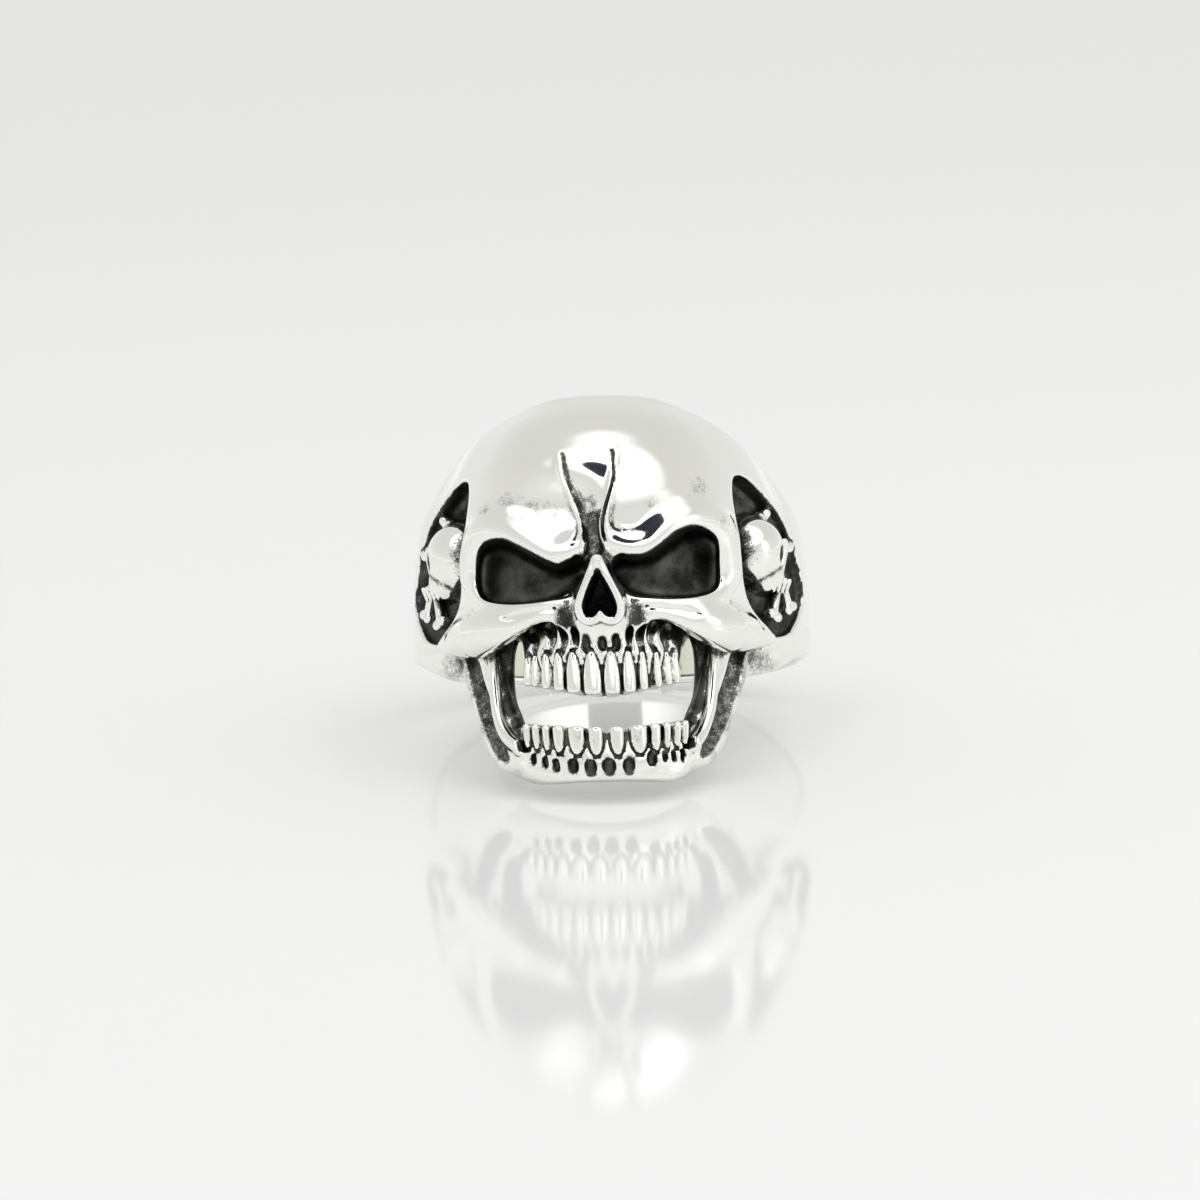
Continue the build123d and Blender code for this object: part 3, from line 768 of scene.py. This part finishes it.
@dataclass
class LowerJaw:
    """Lower jaw: a horseshoe with its teeth and a row of pits, and a ramus up to the band each side."""

    half_width: float = 5.75
    reach: float = 15.75
    bottom: float = -8.50
    top: float = -6.60
    web_drop: float = -2.1
    web_radius: float = 10.72
    web_half_wall: float = 0.40
    # half width, front and depth of the ovals round and inside its gum
    gum_front: Row = (4.85, 16.02, 3.45)
    gum_back: Row = (3.55, 14.95, 3.0)
    # across, level, half width and half height of each pit
    pits: tuple[Row, ...] = (
        (-4.08, -7.12, 0.17, 0.31), (-3.55, -7.34, 0.18, 0.34), (-3.00, -7.56, 0.22, 0.34),
        (-2.05, -7.68, 0.34, 0.30), (-1.07, -7.86, 0.38, 0.42), (-0.03, -7.86, 0.42, 0.42),
        (1.09, -7.84, 0.37, 0.40), (2.38, -7.36, 0.31, 0.37), (3.10, -7.20, 0.19, 0.34),
        (3.60, -7.14, 0.18, 0.34), (4.12, -7.08, 0.20, 0.35),
    )
    row: ToothRow = field(default_factory=lambda: ToothRow(
        half_width=4.75, depth=3.3, reach=16.30,
        teeth=((-4.22, 0.19), (-3.80, 0.24), (-3.29, 0.27), (-2.67, 0.35), (-1.70, 0.48), (-0.66, 0.41),
               (0.49, 0.39), (1.67, 0.50), (2.53, 0.34), (3.13, 0.26), (3.72, 0.25), (4.20, 0.24)),
        edge=-5.64, root=-7.22, edge_rise=0.62, root_rise=0.84,
        profile=((0.0, 0.98), (0.15, 1.0), (0.50, 0.92), (0.76, 0.72), (0.92, 0.44), (1.0, 0.18)),
        outline=0.15, end_round=0.12))
    # across, out, level, half thickness, half depth and turn of a ramus
    ramus: tuple[Row, ...] = (
        (6.70, 9.30, 0.90, 0.80, 1.70, -36.0), (6.68, 9.90, -0.60, 0.70, 1.75, -36.0),
        (6.45, 10.50, -2.20, 0.60, 1.62, -36.0), (6.02, 11.20, -4.00, 0.56, 1.50, -38.0),
        (5.55, 12.00, -5.50, 0.58, 1.35, -42.0), (4.98, 12.90, -6.70, 0.66, 1.05, -48.0),
    )
    # across, out, level and radius of the ridges along its front and rear edges
    front_ridge: tuple[Row, ...] = (
        (6.02, 11.60, -0.50, 0.30), (6.00, 11.85, -1.80, 0.33), (5.92, 12.20, -3.20, 0.34),
        (5.72, 12.70, -4.60, 0.34), (5.28, 13.45, -5.80, 0.36), (4.72, 14.20, -6.50, 0.40),
    )
    rear_ridge: tuple[Row, ...] = (
        (7.95, 8.20, -0.60, 0.30), (7.70, 8.65, -1.60, 0.22), (7.18, 9.50, -3.00, 0.18),
        (6.60, 10.48, -4.50, 0.18), (6.10, 11.48, -5.80, 0.24), (5.60, 12.40, -6.80, 0.38),
    )
    panel: tuple[Row, ...] = (
        (7.40, 10.05, -0.80, 0.62), (7.20, 10.50, -2.20, 0.70), (6.80, 11.25, -3.70, 0.68),
        (6.34, 12.10, -5.00, 0.60), (5.90, 12.90, -6.10, 0.46), (5.50, 13.50, -6.90, 0.26),
    )
    # dark flange along the inside of each ramus
    inside: tuple[Row, ...] = (
        (5.00, 10.90, 0.30, 0.42), (5.36, 11.00, -1.00, 0.50), (5.42, 11.10, -2.40, 0.52),
        (5.26, 11.50, -3.70, 0.50), (4.86, 12.10, -4.70, 0.46), (4.40, 12.90, -5.70, 0.36),
    )
    # across, out, level, radii and amount of the tarnish on and inside a ramus
    stains: tuple[Row, ...] = (
        (8.60, 7.60, -1.10, 2.6, 3.6, 1.7, 0.50), (8.00, 8.40, -0.90, 1.6, 2.4, 1.3, 0.70),
        (7.45, 9.50, -2.40, 1.1, 2.2, 2.3, 0.50), (6.55, 11.00, -4.80, 0.9, 2.0, 1.9, 0.46),
        (5.60, 12.70, -6.90, 1.3, 1.8, 1.1, 0.42), (4.60, 13.40, -7.70, 1.0, 1.4, 0.6, 0.36),
        (5.20, 12.20, -2.60, 0.80, 1.8, 1.6, 1.00), (5.12, 12.60, -3.90, 0.84, 1.7, 1.3, 1.00),
        (4.70, 13.30, -4.90, 0.80, 1.6, 1.0, 1.00),
    )

    def oval(self, clay: Clay, window: Window, half: float, front: float, depth: float) -> np.ndarray:
        """Return the distance to an oval about a place behind the chin."""
        x, y, _ = clay.places(window)
        around = np.sqrt((x / half) ** 2 + ((y - (front - depth)) / depth) ** 2)
        return (around - 1) * min(half, depth)

    def webs(self, clay: Clay) -> None:
        """Carry the band's wall down and forward to the back of each ramus."""
        window = clay.window((-11.8, 0.5, -3.2), (11.8, 10.5, 1.4))
        x, y, z = clay.places(window)
        wall = np.abs(np.hypot(x, y) - self.web_radius) - self.web_half_wall
        part = meet(wall, self.web_drop * ease(1.0, 8.6, y) - z, 0.5)
        part = meet(part, np.maximum(z - 1.2, 6.4 - np.abs(x)), 0.4)
        clay.add((window, meet(part, np.maximum(0.8 - y, y - 9.6), 0.4)), 0.45)

    def sides(self, clay: Clay) -> None:
        """Add a ramus each side."""
        depths, turns = np.array(self.ramus)[:, 4:].T
        for side in Side:
            clay.add(clay.strand(*mirrored(side, self.ramus), 0.9, depths, turns * side.value), 0.5)

    def ridges(self, clay: Clay) -> None:
        """Sink the panel of each ramus, add its flange and ridges, and tarnish it."""
        for side in Side:
            clay.carve(clay.strand(*mirrored(side, self.panel), 0.6), 0.25, 0.72)
            for rows, blend, soot in ((self.inside, 0.25, 0.95), (self.front_ridge, 0.16, 0.0),
                                      (self.rear_ridge, 0.25, 0.0)):
                clay.add(clay.strand(*mirrored(side, rows), 0.6), blend, soot)
            for across, out, level, *radii, amount in self.stains:
                clay.stain((side.value * across, out, level), tuple(radii), amount)

    def model(self, clay: Clay) -> None:
        """Add the jaw's sides, its chin, gum, pits and teeth."""
        self.webs(clay)
        self.sides(clay)
        window = clay.window((-7.4, 8.2, -8.7), (7.4, 16.8, -5.2))
        x, y, z = clay.places(window)
        outer = self.oval(clay, window, self.half_width, self.reach, 4.3)
        inner = self.oval(clay, window, self.half_width - 1.5, self.reach - 1.45, 3.3)
        ring = meet(outer, -inner, 0.35)
        flank = np.maximum(np.abs(x) - 3.0, 0) ** 2
        low, high = self.bottom + 0.22 * flank, self.top + 0.10 * flank
        ring = meet(ring, np.maximum(low - z, z - high), 0.6)
        clay.add((window, meet(ring, 11.4 - y, 0.4)), 0.5)
        gum_front = self.oval(clay, window, *self.gum_front)
        gum_back = self.oval(clay, window, *self.gum_back)
        low, high = -8.05 + 0.05 * x**2, -5.95 + 0.045 * x**2
        gum = meet(meet(gum_front, -gum_back, 0.3), np.maximum(low - z, z - high), 0.3)
        clay.add((window, meet(gum, 12.4 - y, 0.3)), 0.3)
        self.ridges(clay)
        for across, level, half_width, half_height in self.pits:
            out, turn = on_arch(across, *self.gum_front)
            centres = np.array([(across, out + 0.12, level + s * half_height * 0.45) for s in (-1, 0, 1)])
            pit = clay.strand(centres, half_width * np.array([0.9, 1.0, 0.9]), 0.4, np.full(3, 0.52),
                              np.full(3, math.degrees(turn)))
            clay.carve(pit, 0.07, 0.85)
        self.row.model(clay)


@dataclass
class Temples:
    """Oval recess in each shoulder, with a small skull over crossed bones on its floor."""

    shell: Shell
    angle: float = 53.0
    cut_angle: float = 69.0
    level: float = 4.69
    floor_wall: float = 0.6
    side_walls: dict[Side, float] = field(default_factory=lambda: {Side.LEFT: 7.06, Side.RIGHT: 6.84})
    edge: float = 0.22
    # rearward and up from the middle of the floor
    outline: tuple[Row, ...] = (
        (-3.20, 4.10), (-1.40, 3.45), (0.75, 2.20), (2.40, 0.70), (3.50, -0.60), (3.60, -1.80), (2.60, -3.10),
        (1.30, -4.10), (-0.90, -4.38), (-2.70, -3.70), (-4.00, -2.92), (-5.00, -2.10), (-5.70, -0.90),
        (-5.95, 0.90), (-5.85, 2.55), (-4.90, 3.80),
    )
    # rearward, up and rise of both ends of each bone
    bones: tuple[tuple[Row, Row], ...] = (
        ((-0.55, 2.35, 0.42), (2.05, -2.55, 0.30)), ((1.75, 0.95, 0.30), (0.35, -3.15, 0.34)),
    )
    # place on the floor, radii and blend of the small skull's dome and face, then of its hollows
    skull: tuple[tuple[Row, Row, float], ...] = (
        ((-1.30, 0.35, 0.0), (2.05, 2.05, 2.0), 0.15), ((-0.55, -0.95, 0.15), (1.35, 1.30, 1.10), 0.30),
    )
    hollows: tuple[tuple[Row, Row, float], ...] = (
        ((0.20 - 0.52, 0.10, 1.75), (0.40, 0.40, 0.42), 0.12),
        ((0.20 + 0.52, 0.10, 1.75), (0.40, 0.40, 0.42), 0.12),
        ((0.25, -0.62, 1.60), (0.20, 0.20, 0.28), 0.10),
    )
    bone_radius: float = 0.23
    knob_radius: float = 0.32

    def spot(self, side: Side, along: float, up: float, rise: float) -> np.ndarray:
        """Return the place on the recess floor at a distance along and up, raised by rise."""
        radius = self.shell.finger_radius + self.floor_wall
        angle = math.radians(self.angle) + along / radius
        reach = radius + rise
        return np.array([side.value * reach * math.sin(angle), reach * math.cos(angle), self.level + up])

    def model(self, clay: Clay) -> None:
        """Carve both recesses and model the relief in each."""
        for side in Side:
            self.recess(clay, side)
            self.relief(clay, side)

    def recess(self, clay: Clay, side: Side) -> None:
        """Let the oval into the shoulder down to a wall round the finger."""
        centre = self.spot(side, 0, 0, 0)
        cut = math.radians(self.cut_angle)
        along = np.array([side.value * math.cos(cut), -math.sin(cut)])
        low, high = (5.0, 12.0) if side is Side.RIGHT else (-12.0, -5.0)
        window = clay.window((low, -1.5, -0.8), (high, 13.0, 10.2))
        x, y, z = clay.places(window)
        u = (x - centre[0]) * along[0] + (y - centre[1]) * along[1]
        loop = smooth_loop(self.outline, 4)
        oval = closed_outline(u.ravel(), z.ravel() - centre[2], loop).reshape(u.shape[:2] + (-1,))
        floor = self.shell.finger_radius + self.floor_wall - np.hypot(x, y)
        inside = meet(floor, self.side_walls[side] - side.value * x, 1.0)
        clay.carve((window, meet(oval, inside, 0.4)), self.edge, 0.85)

    def relief(self, clay: Clay, side: Side) -> None:
        """Raise the small skull over crossed bones on the floor."""
        for ends in self.bones:
            shaft = np.array([self.spot(side, *(a + share * (b - a) for a, b in zip(*ends)))
                              for share in (0.0, 0.25, 0.5, 0.75, 1.0)])
            radii = self.bone_radius * np.array([1.2, 1.0, 0.9, 1.0, 1.2])
            clay.add(clay.strand(shaft, radii, 0.5), 0.10)
            turn = math.atan2(ends[1][0] - ends[0][0], ends[0][1] - ends[1][1])
            for along, up, rise in ends:
                for nudge in (-1, 1):
                    place = self.spot(side, along + nudge * 0.30 * math.cos(turn),
                                      up + nudge * 0.30 * math.sin(turn), rise + 0.06)
                    clay.add(clay.ball(place, (self.knob_radius,) * 3, 0.5), 0.08)
        for place, radii, blend in self.skull:
            clay.add(clay.ball(self.spot(side, *place), radii, 0.8), blend)
        for place, radii, blend in self.hollows:
            clay.carve(clay.ball(self.spot(side, *place), radii, 0.4), blend, 0.8)
        for n in range(4):
            along = -0.35 + 0.34 * n
            centres = np.array([self.spot(side, along, -1.25, 1.28), self.spot(side, along, -1.90, 1.00)])
            clay.add(clay.strand(centres, np.array([0.15, 0.13]), 0.3), 0.05)
        clay.stain(self.spot(side, -3.20, 0.20, 1.0), (2.1, 2.1, 2.8), 0.80)


@dataclass
class Casting:
    """The whole ring, modelled in clay and turned into one mesh with its patina."""

    pose: RestingPose
    pitch: float
    triangles: int = 190000
    # sideways lean of the face for each mm of height, and the level that it turns about
    face_lean: float = 0.038
    lean_level: float = 2.7
    # radius of each polishing wheel, depths where it starts and ends to miss, and tarnish it leaves
    wheels: tuple[Row, ...] = ((1.0, 0.12, 0.50, 0.74), (2.2, 0.15, 0.80, 0.46))
    crest_shine: float = 0.92
    crease_tarnish: float = 0.85

    def sculpt(self) -> Clay:
        """Model every feature in turn and return the finished clay."""
        clay = Clay((-11.9, -11.9, -8.9), (11.9, 18.9, 13.9), self.pitch)
        shell = Shell()
        shell.model(clay)
        for feature in (Brows(shell), Cheeks(shell), Nose(), UpperJaw(), Sockets(), LowerJaw(),
                        Temples(shell)):
            feature.model(clay)
            log.info("modelled %s", type(feature).__name__)
        shell.bore(clay)
        clay.soften(1)
        return clay

    def polish_depth(self, clay: Clay, points: np.ndarray, wheel: float) -> np.ndarray:
        """Return how far each point lies below what a polishing wheel of a radius can reach.

        The casting is swollen by the wheel's radius and shrunk back, which fills what the wheel can't
        enter.
        """
        pitch = max(clay.pitch, 0.14)
        steps = wheel / pitch + 3
        line = openvdb.createLinearTransform(pitch)
        mesh, quads = clay.surface()
        near = openvdb.FloatGrid.createLevelSetFromPolygons(
            mesh.astype(np.float32), quads=quads.astype(np.uint32), transform=line, halfWidth=steps)
        swollen, faces = near.convertToQuads(wheel)
        back = openvdb.FloatGrid.createLevelSetFromPolygons(
            swollen, quads=faces, transform=line, exBandWidth=3.0, inBandWidth=2 * steps)
        low = np.floor(points.min(0) / pitch).astype(int) - 4
        count = np.ceil(points.max(0) / pitch).astype(int) + 4 - low
        values = np.zeros(count, np.float32)
        back.copyToArray(values, tuple(int(n) for n in low))
        reader = Clay.__new__(Clay)
        reader.pitch, reader.low = pitch, low * pitch
        return -(reader.read(values, points) + wheel)

    def bend(self, mesh: bpy.types.Mesh, points: np.ndarray, normal: np.ndarray) -> np.ndarray:
        """Return how sharply the surface bends at each point, per mm, above 0 on crests."""
        count = len(points)
        ends = np.zeros(2 * len(mesh.edges), np.int32)
        mesh.edges.foreach_get("vertices", ends)
        a, b = np.concatenate([ends[0::2], ends[1::2]]), np.concatenate([ends[1::2], ends[0::2]])
        links = np.maximum(np.bincount(a, minlength=count), 1)
        step = points[b] - points[a]
        drop = np.bincount(a, -(step * normal[a]).sum(1), count)
        bend = 2 * drop / np.maximum(np.bincount(a, (step**2).sum(1), count), 1e-9)
        for _ in range(3):
            bend = (bend + np.bincount(a, bend[b], count) / links) / 2
        return bend

    def build(self) -> bpy.types.Object:
        """Mesh the clay, thin it, settle it on the true surface and return the ring's object."""
        clay = self.sculpt()
        points, quads = clay.surface()
        log.info("raw mesh of %d faces", len(quads))
        mesh = bpy.data.meshes.new("silver_casting")
        mesh.from_pydata(points.tolist(), [], quads[:, ::-1].tolist())
        ring = bpy.data.objects.new("silver_casting", mesh)
        bpy.context.scene.collection.objects.link(ring)
        if 2 * len(quads) > self.triangles:
            thin = ring.modifiers.new("thin", "DECIMATE")
            thin.ratio = self.triangles / (2 * len(quads))
            depsgraph = bpy.context.evaluated_depsgraph_get()
            mesh = bpy.data.meshes.new_from_object(ring.evaluated_get(depsgraph))
            ring.modifiers.clear()
            ring.data = mesh
        count = len(mesh.vertices)
        flat = np.zeros(count * 3)
        mesh.vertices.foreach_get("co", flat)
        points = flat.reshape(-1, 3)
        slope = np.stack(np.gradient(clay.body, clay.pitch), axis=-1).astype(np.float32)
        for _ in range(2):
            gap = clay.read(clay.body, points)
            normal = clay.read(slope, points)
            steep = np.maximum((normal**2).sum(1), 0.2)
            points = points - normal * np.clip(gap / steep, -0.05, 0.05)[:, None]
        normal = clay.read(slope, points)
        normal /= np.maximum(np.linalg.norm(normal, axis=1), 1e-6)[:, None]
        patina_share = clay.read(clay.soot, points)
        for wheel, starts, ends, tarnish in self.wheels:
            missed = ease(starts, ends, self.polish_depth(clay, points, wheel))
            patina_share = np.maximum(patina_share, tarnish * missed)
        bend = self.bend(mesh, points, normal)
        patina_share = np.maximum(patina_share, self.crease_tarnish * ease(0.9, 3.0, -bend))
        patina_share *= 1 - self.crest_shine * ease(0.9, 2.5, bend)
        points[:, 0] -= self.face_lean * (points[:, 2] - self.lean_level) * ease(13.0, 15.5, points[:, 1])
        to_back = np.array([1.0, -1.0, 1.0])
        placed = self.pose.place(points * to_back)
        normal = self.pose.turn(normal * to_back)
        mesh.vertices.foreach_set("co", placed.ravel())
        patina = mesh.attributes.new("patina", "FLOAT", "POINT")
        patina.data.foreach_set("value", patina_share.astype(np.float32))
        mesh.shade_smooth()
        mesh.normals_split_custom_set_from_vertices([tuple(n) for n in normal])
        mesh.update()
        return ring


class NodeSheet:
    """A small helper that adds nodes to a tree and joins them."""

    def __init__(self, tree: bpy.types.NodeTree) -> None:
        """Start on a node tree."""
        self.tree = tree

    def add(self, kind: str, settings: dict | None = None, **values: object) -> bpy.types.Node:
        """Add a node, set its properties, and feed its inputs with values or other nodes' outputs.

        Args:
            kind: the node's type name.
            settings: properties of the node itself.
            values: an input's name, spaces as underscores, with a number, a tuple or an output socket.
        """
        node = self.tree.nodes.new(kind)
        for name, value in (settings or {}).items():
            setattr(node, name, value)
        for name, value in values.items():
            self.feed(node, name, value)
        return node

    def maths(self, operation: str, *values: object) -> bpy.types.NodeSocket:
        """Add a node of arithmetic and return its output."""
        fed = {f"_{n}": value for n, value in enumerate(values)}
        return self.add("ShaderNodeMath", {"operation": operation}, **fed).outputs[0]

    def feed(self, node: bpy.types.Node, name: str, value: object) -> None:
        """Give one input a value or join it to an output socket."""
        wanted = name.replace("_", " ").strip()
        key = int(wanted) if wanted.isdigit() else wanted
        socket = node.inputs[key]
        if isinstance(value, bpy.types.NodeSocket):
            self.tree.links.new(value, socket)
        else:
            socket.default_value = value


@dataclass(frozen=True)
class OxidisedSilver:
    """Mirror-polished silver with a black finish left in its hollows."""

    silver: Row = (0.930, 0.932, 0.880, 1.0)
    tarnish: Row = (0.130, 0.129, 0.120, 1.0)
    black: Row = (0.022, 0.022, 0.021, 1.0)
    polished_roughness: float = 0.085
    black_roughness: float = 0.40

    def material(self) -> bpy.types.Material:
        """Build the material: silver, and soot broken into specks where the patina thins."""
        made = bpy.data.materials.new("oxidised_silver")
        made.use_nodes = True
        sheet = NodeSheet(made.node_tree)
        shader = made.node_tree.nodes["Principled BSDF"]
        patina = sheet.add("ShaderNodeAttribute", {"attribute_name": "patina"}).outputs["Fac"]
        place = sheet.add("ShaderNodeTexCoord").outputs["Object"]
        grain = sheet.add("ShaderNodeTexNoise", Vector=place, Scale=12000.0, Detail=4.0, Roughness=0.7)
        patch = sheet.add("ShaderNodeTexNoise", Vector=place, Scale=2400.0, Detail=3.0)
        fine = sheet.maths("MULTIPLY_ADD", grain.outputs["Fac"], 1.1, -0.55)
        wide = sheet.maths("MULTIPLY_ADD", patch.outputs["Fac"], 0.5, -0.25)
        level = sheet.maths("ADD", patina, sheet.maths("ADD", fine, wide))
        mask = sheet.add("ShaderNodeMapRange", {"interpolation_type": "SMOOTHSTEP"}, Value=level,
                         From_Min=0.30, From_Max=0.76).outputs["Result"]
        cloud = sheet.add("ShaderNodeTexNoise", Vector=place, Scale=650.0, Detail=5.0, Roughness=0.6)
        worn = sheet.add("ShaderNodeMapRange", Value=cloud.outputs["Fac"], From_Min=0.36, From_Max=0.70)
        dark = sheet.add("ShaderNodeMix", {"data_type": "RGBA"}, Factor=worn.outputs["Result"],
                         A=self.black, B=self.tarnish)
        tone = sheet.add("ShaderNodeMix", {"data_type": "RGBA"}, Factor=mask,
                         A=self.silver, B=dark.outputs["Result"])
        rough = sheet.add("ShaderNodeMapRange", Value=mask, To_Min=self.polished_roughness,
                          To_Max=self.black_roughness)
        sheet.feed(shader, "Base Color", tone.outputs["Result"])
        sheet.feed(shader, "Roughness", rough.outputs["Result"])
        shader.inputs["Metallic"].default_value = 1.0
        return made


@dataclass
class Studio:
    """White table in a light tent, soft boxes, a dark card and the camera."""

    azimuth: float = 2.5
    elevation: float = 12.5
    roll: float = -1.9
    distance: float = 386.0
    focal: float = 208.7
    target: Row = (-0.38, -2.2, 8.62)

    def settle(self, thing: bpy.types.Object) -> bpy.types.Object:
        """Link an object into the scene."""
        bpy.context.scene.collection.objects.link(thing)
        return thing

    def sheet(self, name: str, size: Row, place: Row, aim: Row) -> bpy.types.Object:
        """Stand a flat oval sheet of a size at a place, facing a point, all in mm."""
        shape = bmesh.new()
        bmesh.ops.create_circle(shape, cap_ends=True, segments=64, radius=0.5)
        bmesh.ops.scale(shape, vec=(size[0] * MM, size[1] * MM, 1), verts=shape.verts)
        mesh = bpy.data.meshes.new(name)
        shape.to_mesh(mesh)
        shape.free()
        held = bpy.data.objects.new(name, mesh)
        held.location = Vector(place) * MM
        held.rotation_euler = (Vector(aim) - Vector(place)).to_track_quat("-Z", "Y").to_euler()
        return self.settle(held)

    def floor(self) -> None:
        """Lay the glossy white table."""
        shape = bmesh.new()
        bmesh.ops.create_grid(shape, x_segments=1, y_segments=1, size=3.0)
        mesh = bpy.data.meshes.new("table")
        shape.to_mesh(mesh)
        shape.free()
        table = self.settle(bpy.data.objects.new("table", mesh))
        gloss = bpy.data.materials.new("white_acrylic")
        gloss.use_nodes = True
        shader = gloss.node_tree.nodes["Principled BSDF"]
        shader.inputs["Base Color"].default_value = (0.93, 0.93, 0.93, 1)
        shader.inputs["Roughness"].default_value = 0.08
        shader.inputs["IOR"].default_value = 1.45
        table.data.materials.append(gloss)

    def soft_box(self, name: str, place: Row, aim: Row, size: Row, strength: float) -> None:
        """Hang a lit cloth that fades towards its edges."""
        cloth = self.sheet(name, size, place, aim)
        made = bpy.data.materials.new(name)
        made.use_nodes = True
        made.node_tree.nodes.clear()
        sheet = NodeSheet(made.node_tree)
        at = sheet.add("ShaderNodeTexCoord").outputs["Object"]
        grow = sheet.add("ShaderNodeVectorMath", {"operation": "MULTIPLY"}, _0=at,
                         _1=(2 / (size[0] * MM), 2 / (size[1] * MM), 0))
        reach = sheet.add("ShaderNodeVectorMath", {"operation": "LENGTH"}, _0=grow.outputs[0])
        fade = sheet.add("ShaderNodeMapRange", {"interpolation_type": "SMOOTHSTEP"},
                         Value=reach.outputs["Value"], From_Min=1.0, From_Max=0.35)
        glow = sheet.add("ShaderNodeEmission", Strength=strength)
        clear = sheet.add("ShaderNodeBsdfTransparent")
        mix = sheet.add("ShaderNodeMixShader", _0=fade.outputs["Result"], _1=clear.outputs[0],
                        _2=glow.outputs[0])
        sheet.add("ShaderNodeOutputMaterial", Surface=mix.outputs[0])
        cloth.data.materials.append(made)

    def dark_card(self, name: str, place: Row, aim: Row, size: Row, tone: Row) -> None:
        """Stand a dull dark card where the silver mirrors it."""
        card = self.sheet(name, size, place, aim)
        dull = bpy.data.materials.new(name)
        dull.use_nodes = True
        shader = dull.node_tree.nodes["Principled BSDF"]
        shader.inputs["Base Color"].default_value = (*tone, 1.0)
        shader.inputs["Roughness"].default_value = 0.9
        card.data.materials.append(dull)

    def world(self) -> None:
        """Surround the table with the light tent, brightest up to the horizon."""
        world = bpy.data.worlds.new("light_tent")
        world.use_nodes = True
        sheet = NodeSheet(world.node_tree)
        shade = world.node_tree.nodes["Background"]
        toward = sheet.add("ShaderNodeTexCoord").outputs["Generated"]
        part = sheet.add("ShaderNodeSeparateXYZ", Vector=toward)
        ramp = sheet.add("ShaderNodeValToRGB", Fac=sheet.maths("MULTIPLY_ADD", part.outputs["Z"], 0.5, 0.5))
        stops = ramp.color_ramp.elements
        stops[0].position, stops[0].color = 0.49, (1.07, 1.07, 1.07, 1)
        stops[1].position, stops[1].color = 0.53, (0.84, 0.84, 0.84, 1)
        for place, tone in ((0.68, 0.76), (0.86, 0.72), (1.0, 0.74)):
            stop = stops.new(place)
            stop.color = (tone, tone, tone * 0.985, 1)
        sheet.feed(shade, "Color", ramp.outputs["Color"])
        shade.inputs["Strength"].default_value = 1.0
        bpy.context.scene.world = world

    def camera(self) -> None:
        """Stand the camera at the photograph's angle."""
        lens = bpy.data.cameras.new("camera")
        lens.lens = self.focal
        lens.sensor_width = 36.0
        lens.clip_start = 0.02
        lens.clip_end = 20.0
        held = bpy.data.objects.new("camera", lens)
        a, e = math.radians(self.azimuth), math.radians(self.elevation)
        back = Vector((math.sin(a) * math.cos(e), -math.cos(a) * math.cos(e), math.sin(e)))
        held.location = (Vector(self.target) + back * self.distance) * MM
        turn = (-back).to_track_quat("-Z", "Y").to_matrix()
        held.rotation_euler = (turn @ Matrix.Rotation(math.radians(self.roll), 3, "Z")).to_euler()
        bpy.context.scene.collection.objects.link(held)
        bpy.context.scene.camera = held

    def build(self) -> None:
        """Set everything round the ring."""
        self.floor()
        self.world()
        self.soft_box("top_cloth", (30, -125, 255), (0, -5, 8), (600, 500), 2.1)
        self.soft_box("right_cloth", (330, -160, 120), (0, 0, 10), (260, 300), 1.3)
        self.dark_card("lens_hood", (4, -122, 176), (0, -10, 14), (112, 118), (0.02, 0.025, 0.045))
        self.camera()
        view = bpy.context.scene.view_settings
        view.view_transform = "Standard"
        view.exposure = 0.0


def main() -> None:
    """Build the ring, dress it and set it on the table."""
    logging.basicConfig(level=logging.INFO, format="%(name)s: %(message)s")
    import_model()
    pose = RestingPose()
    ring = Casting(pose, pitch=0.08).build()
    ring.data.materials.clear()
    ring.data.materials.append(OxidisedSilver().material())
    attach(ring, "root")
    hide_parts("skull_ring")
    log.info("silver_casting: %d faces", len(ring.data.polygons))
    Studio().build()


if __name__ == "__main__":
    main()
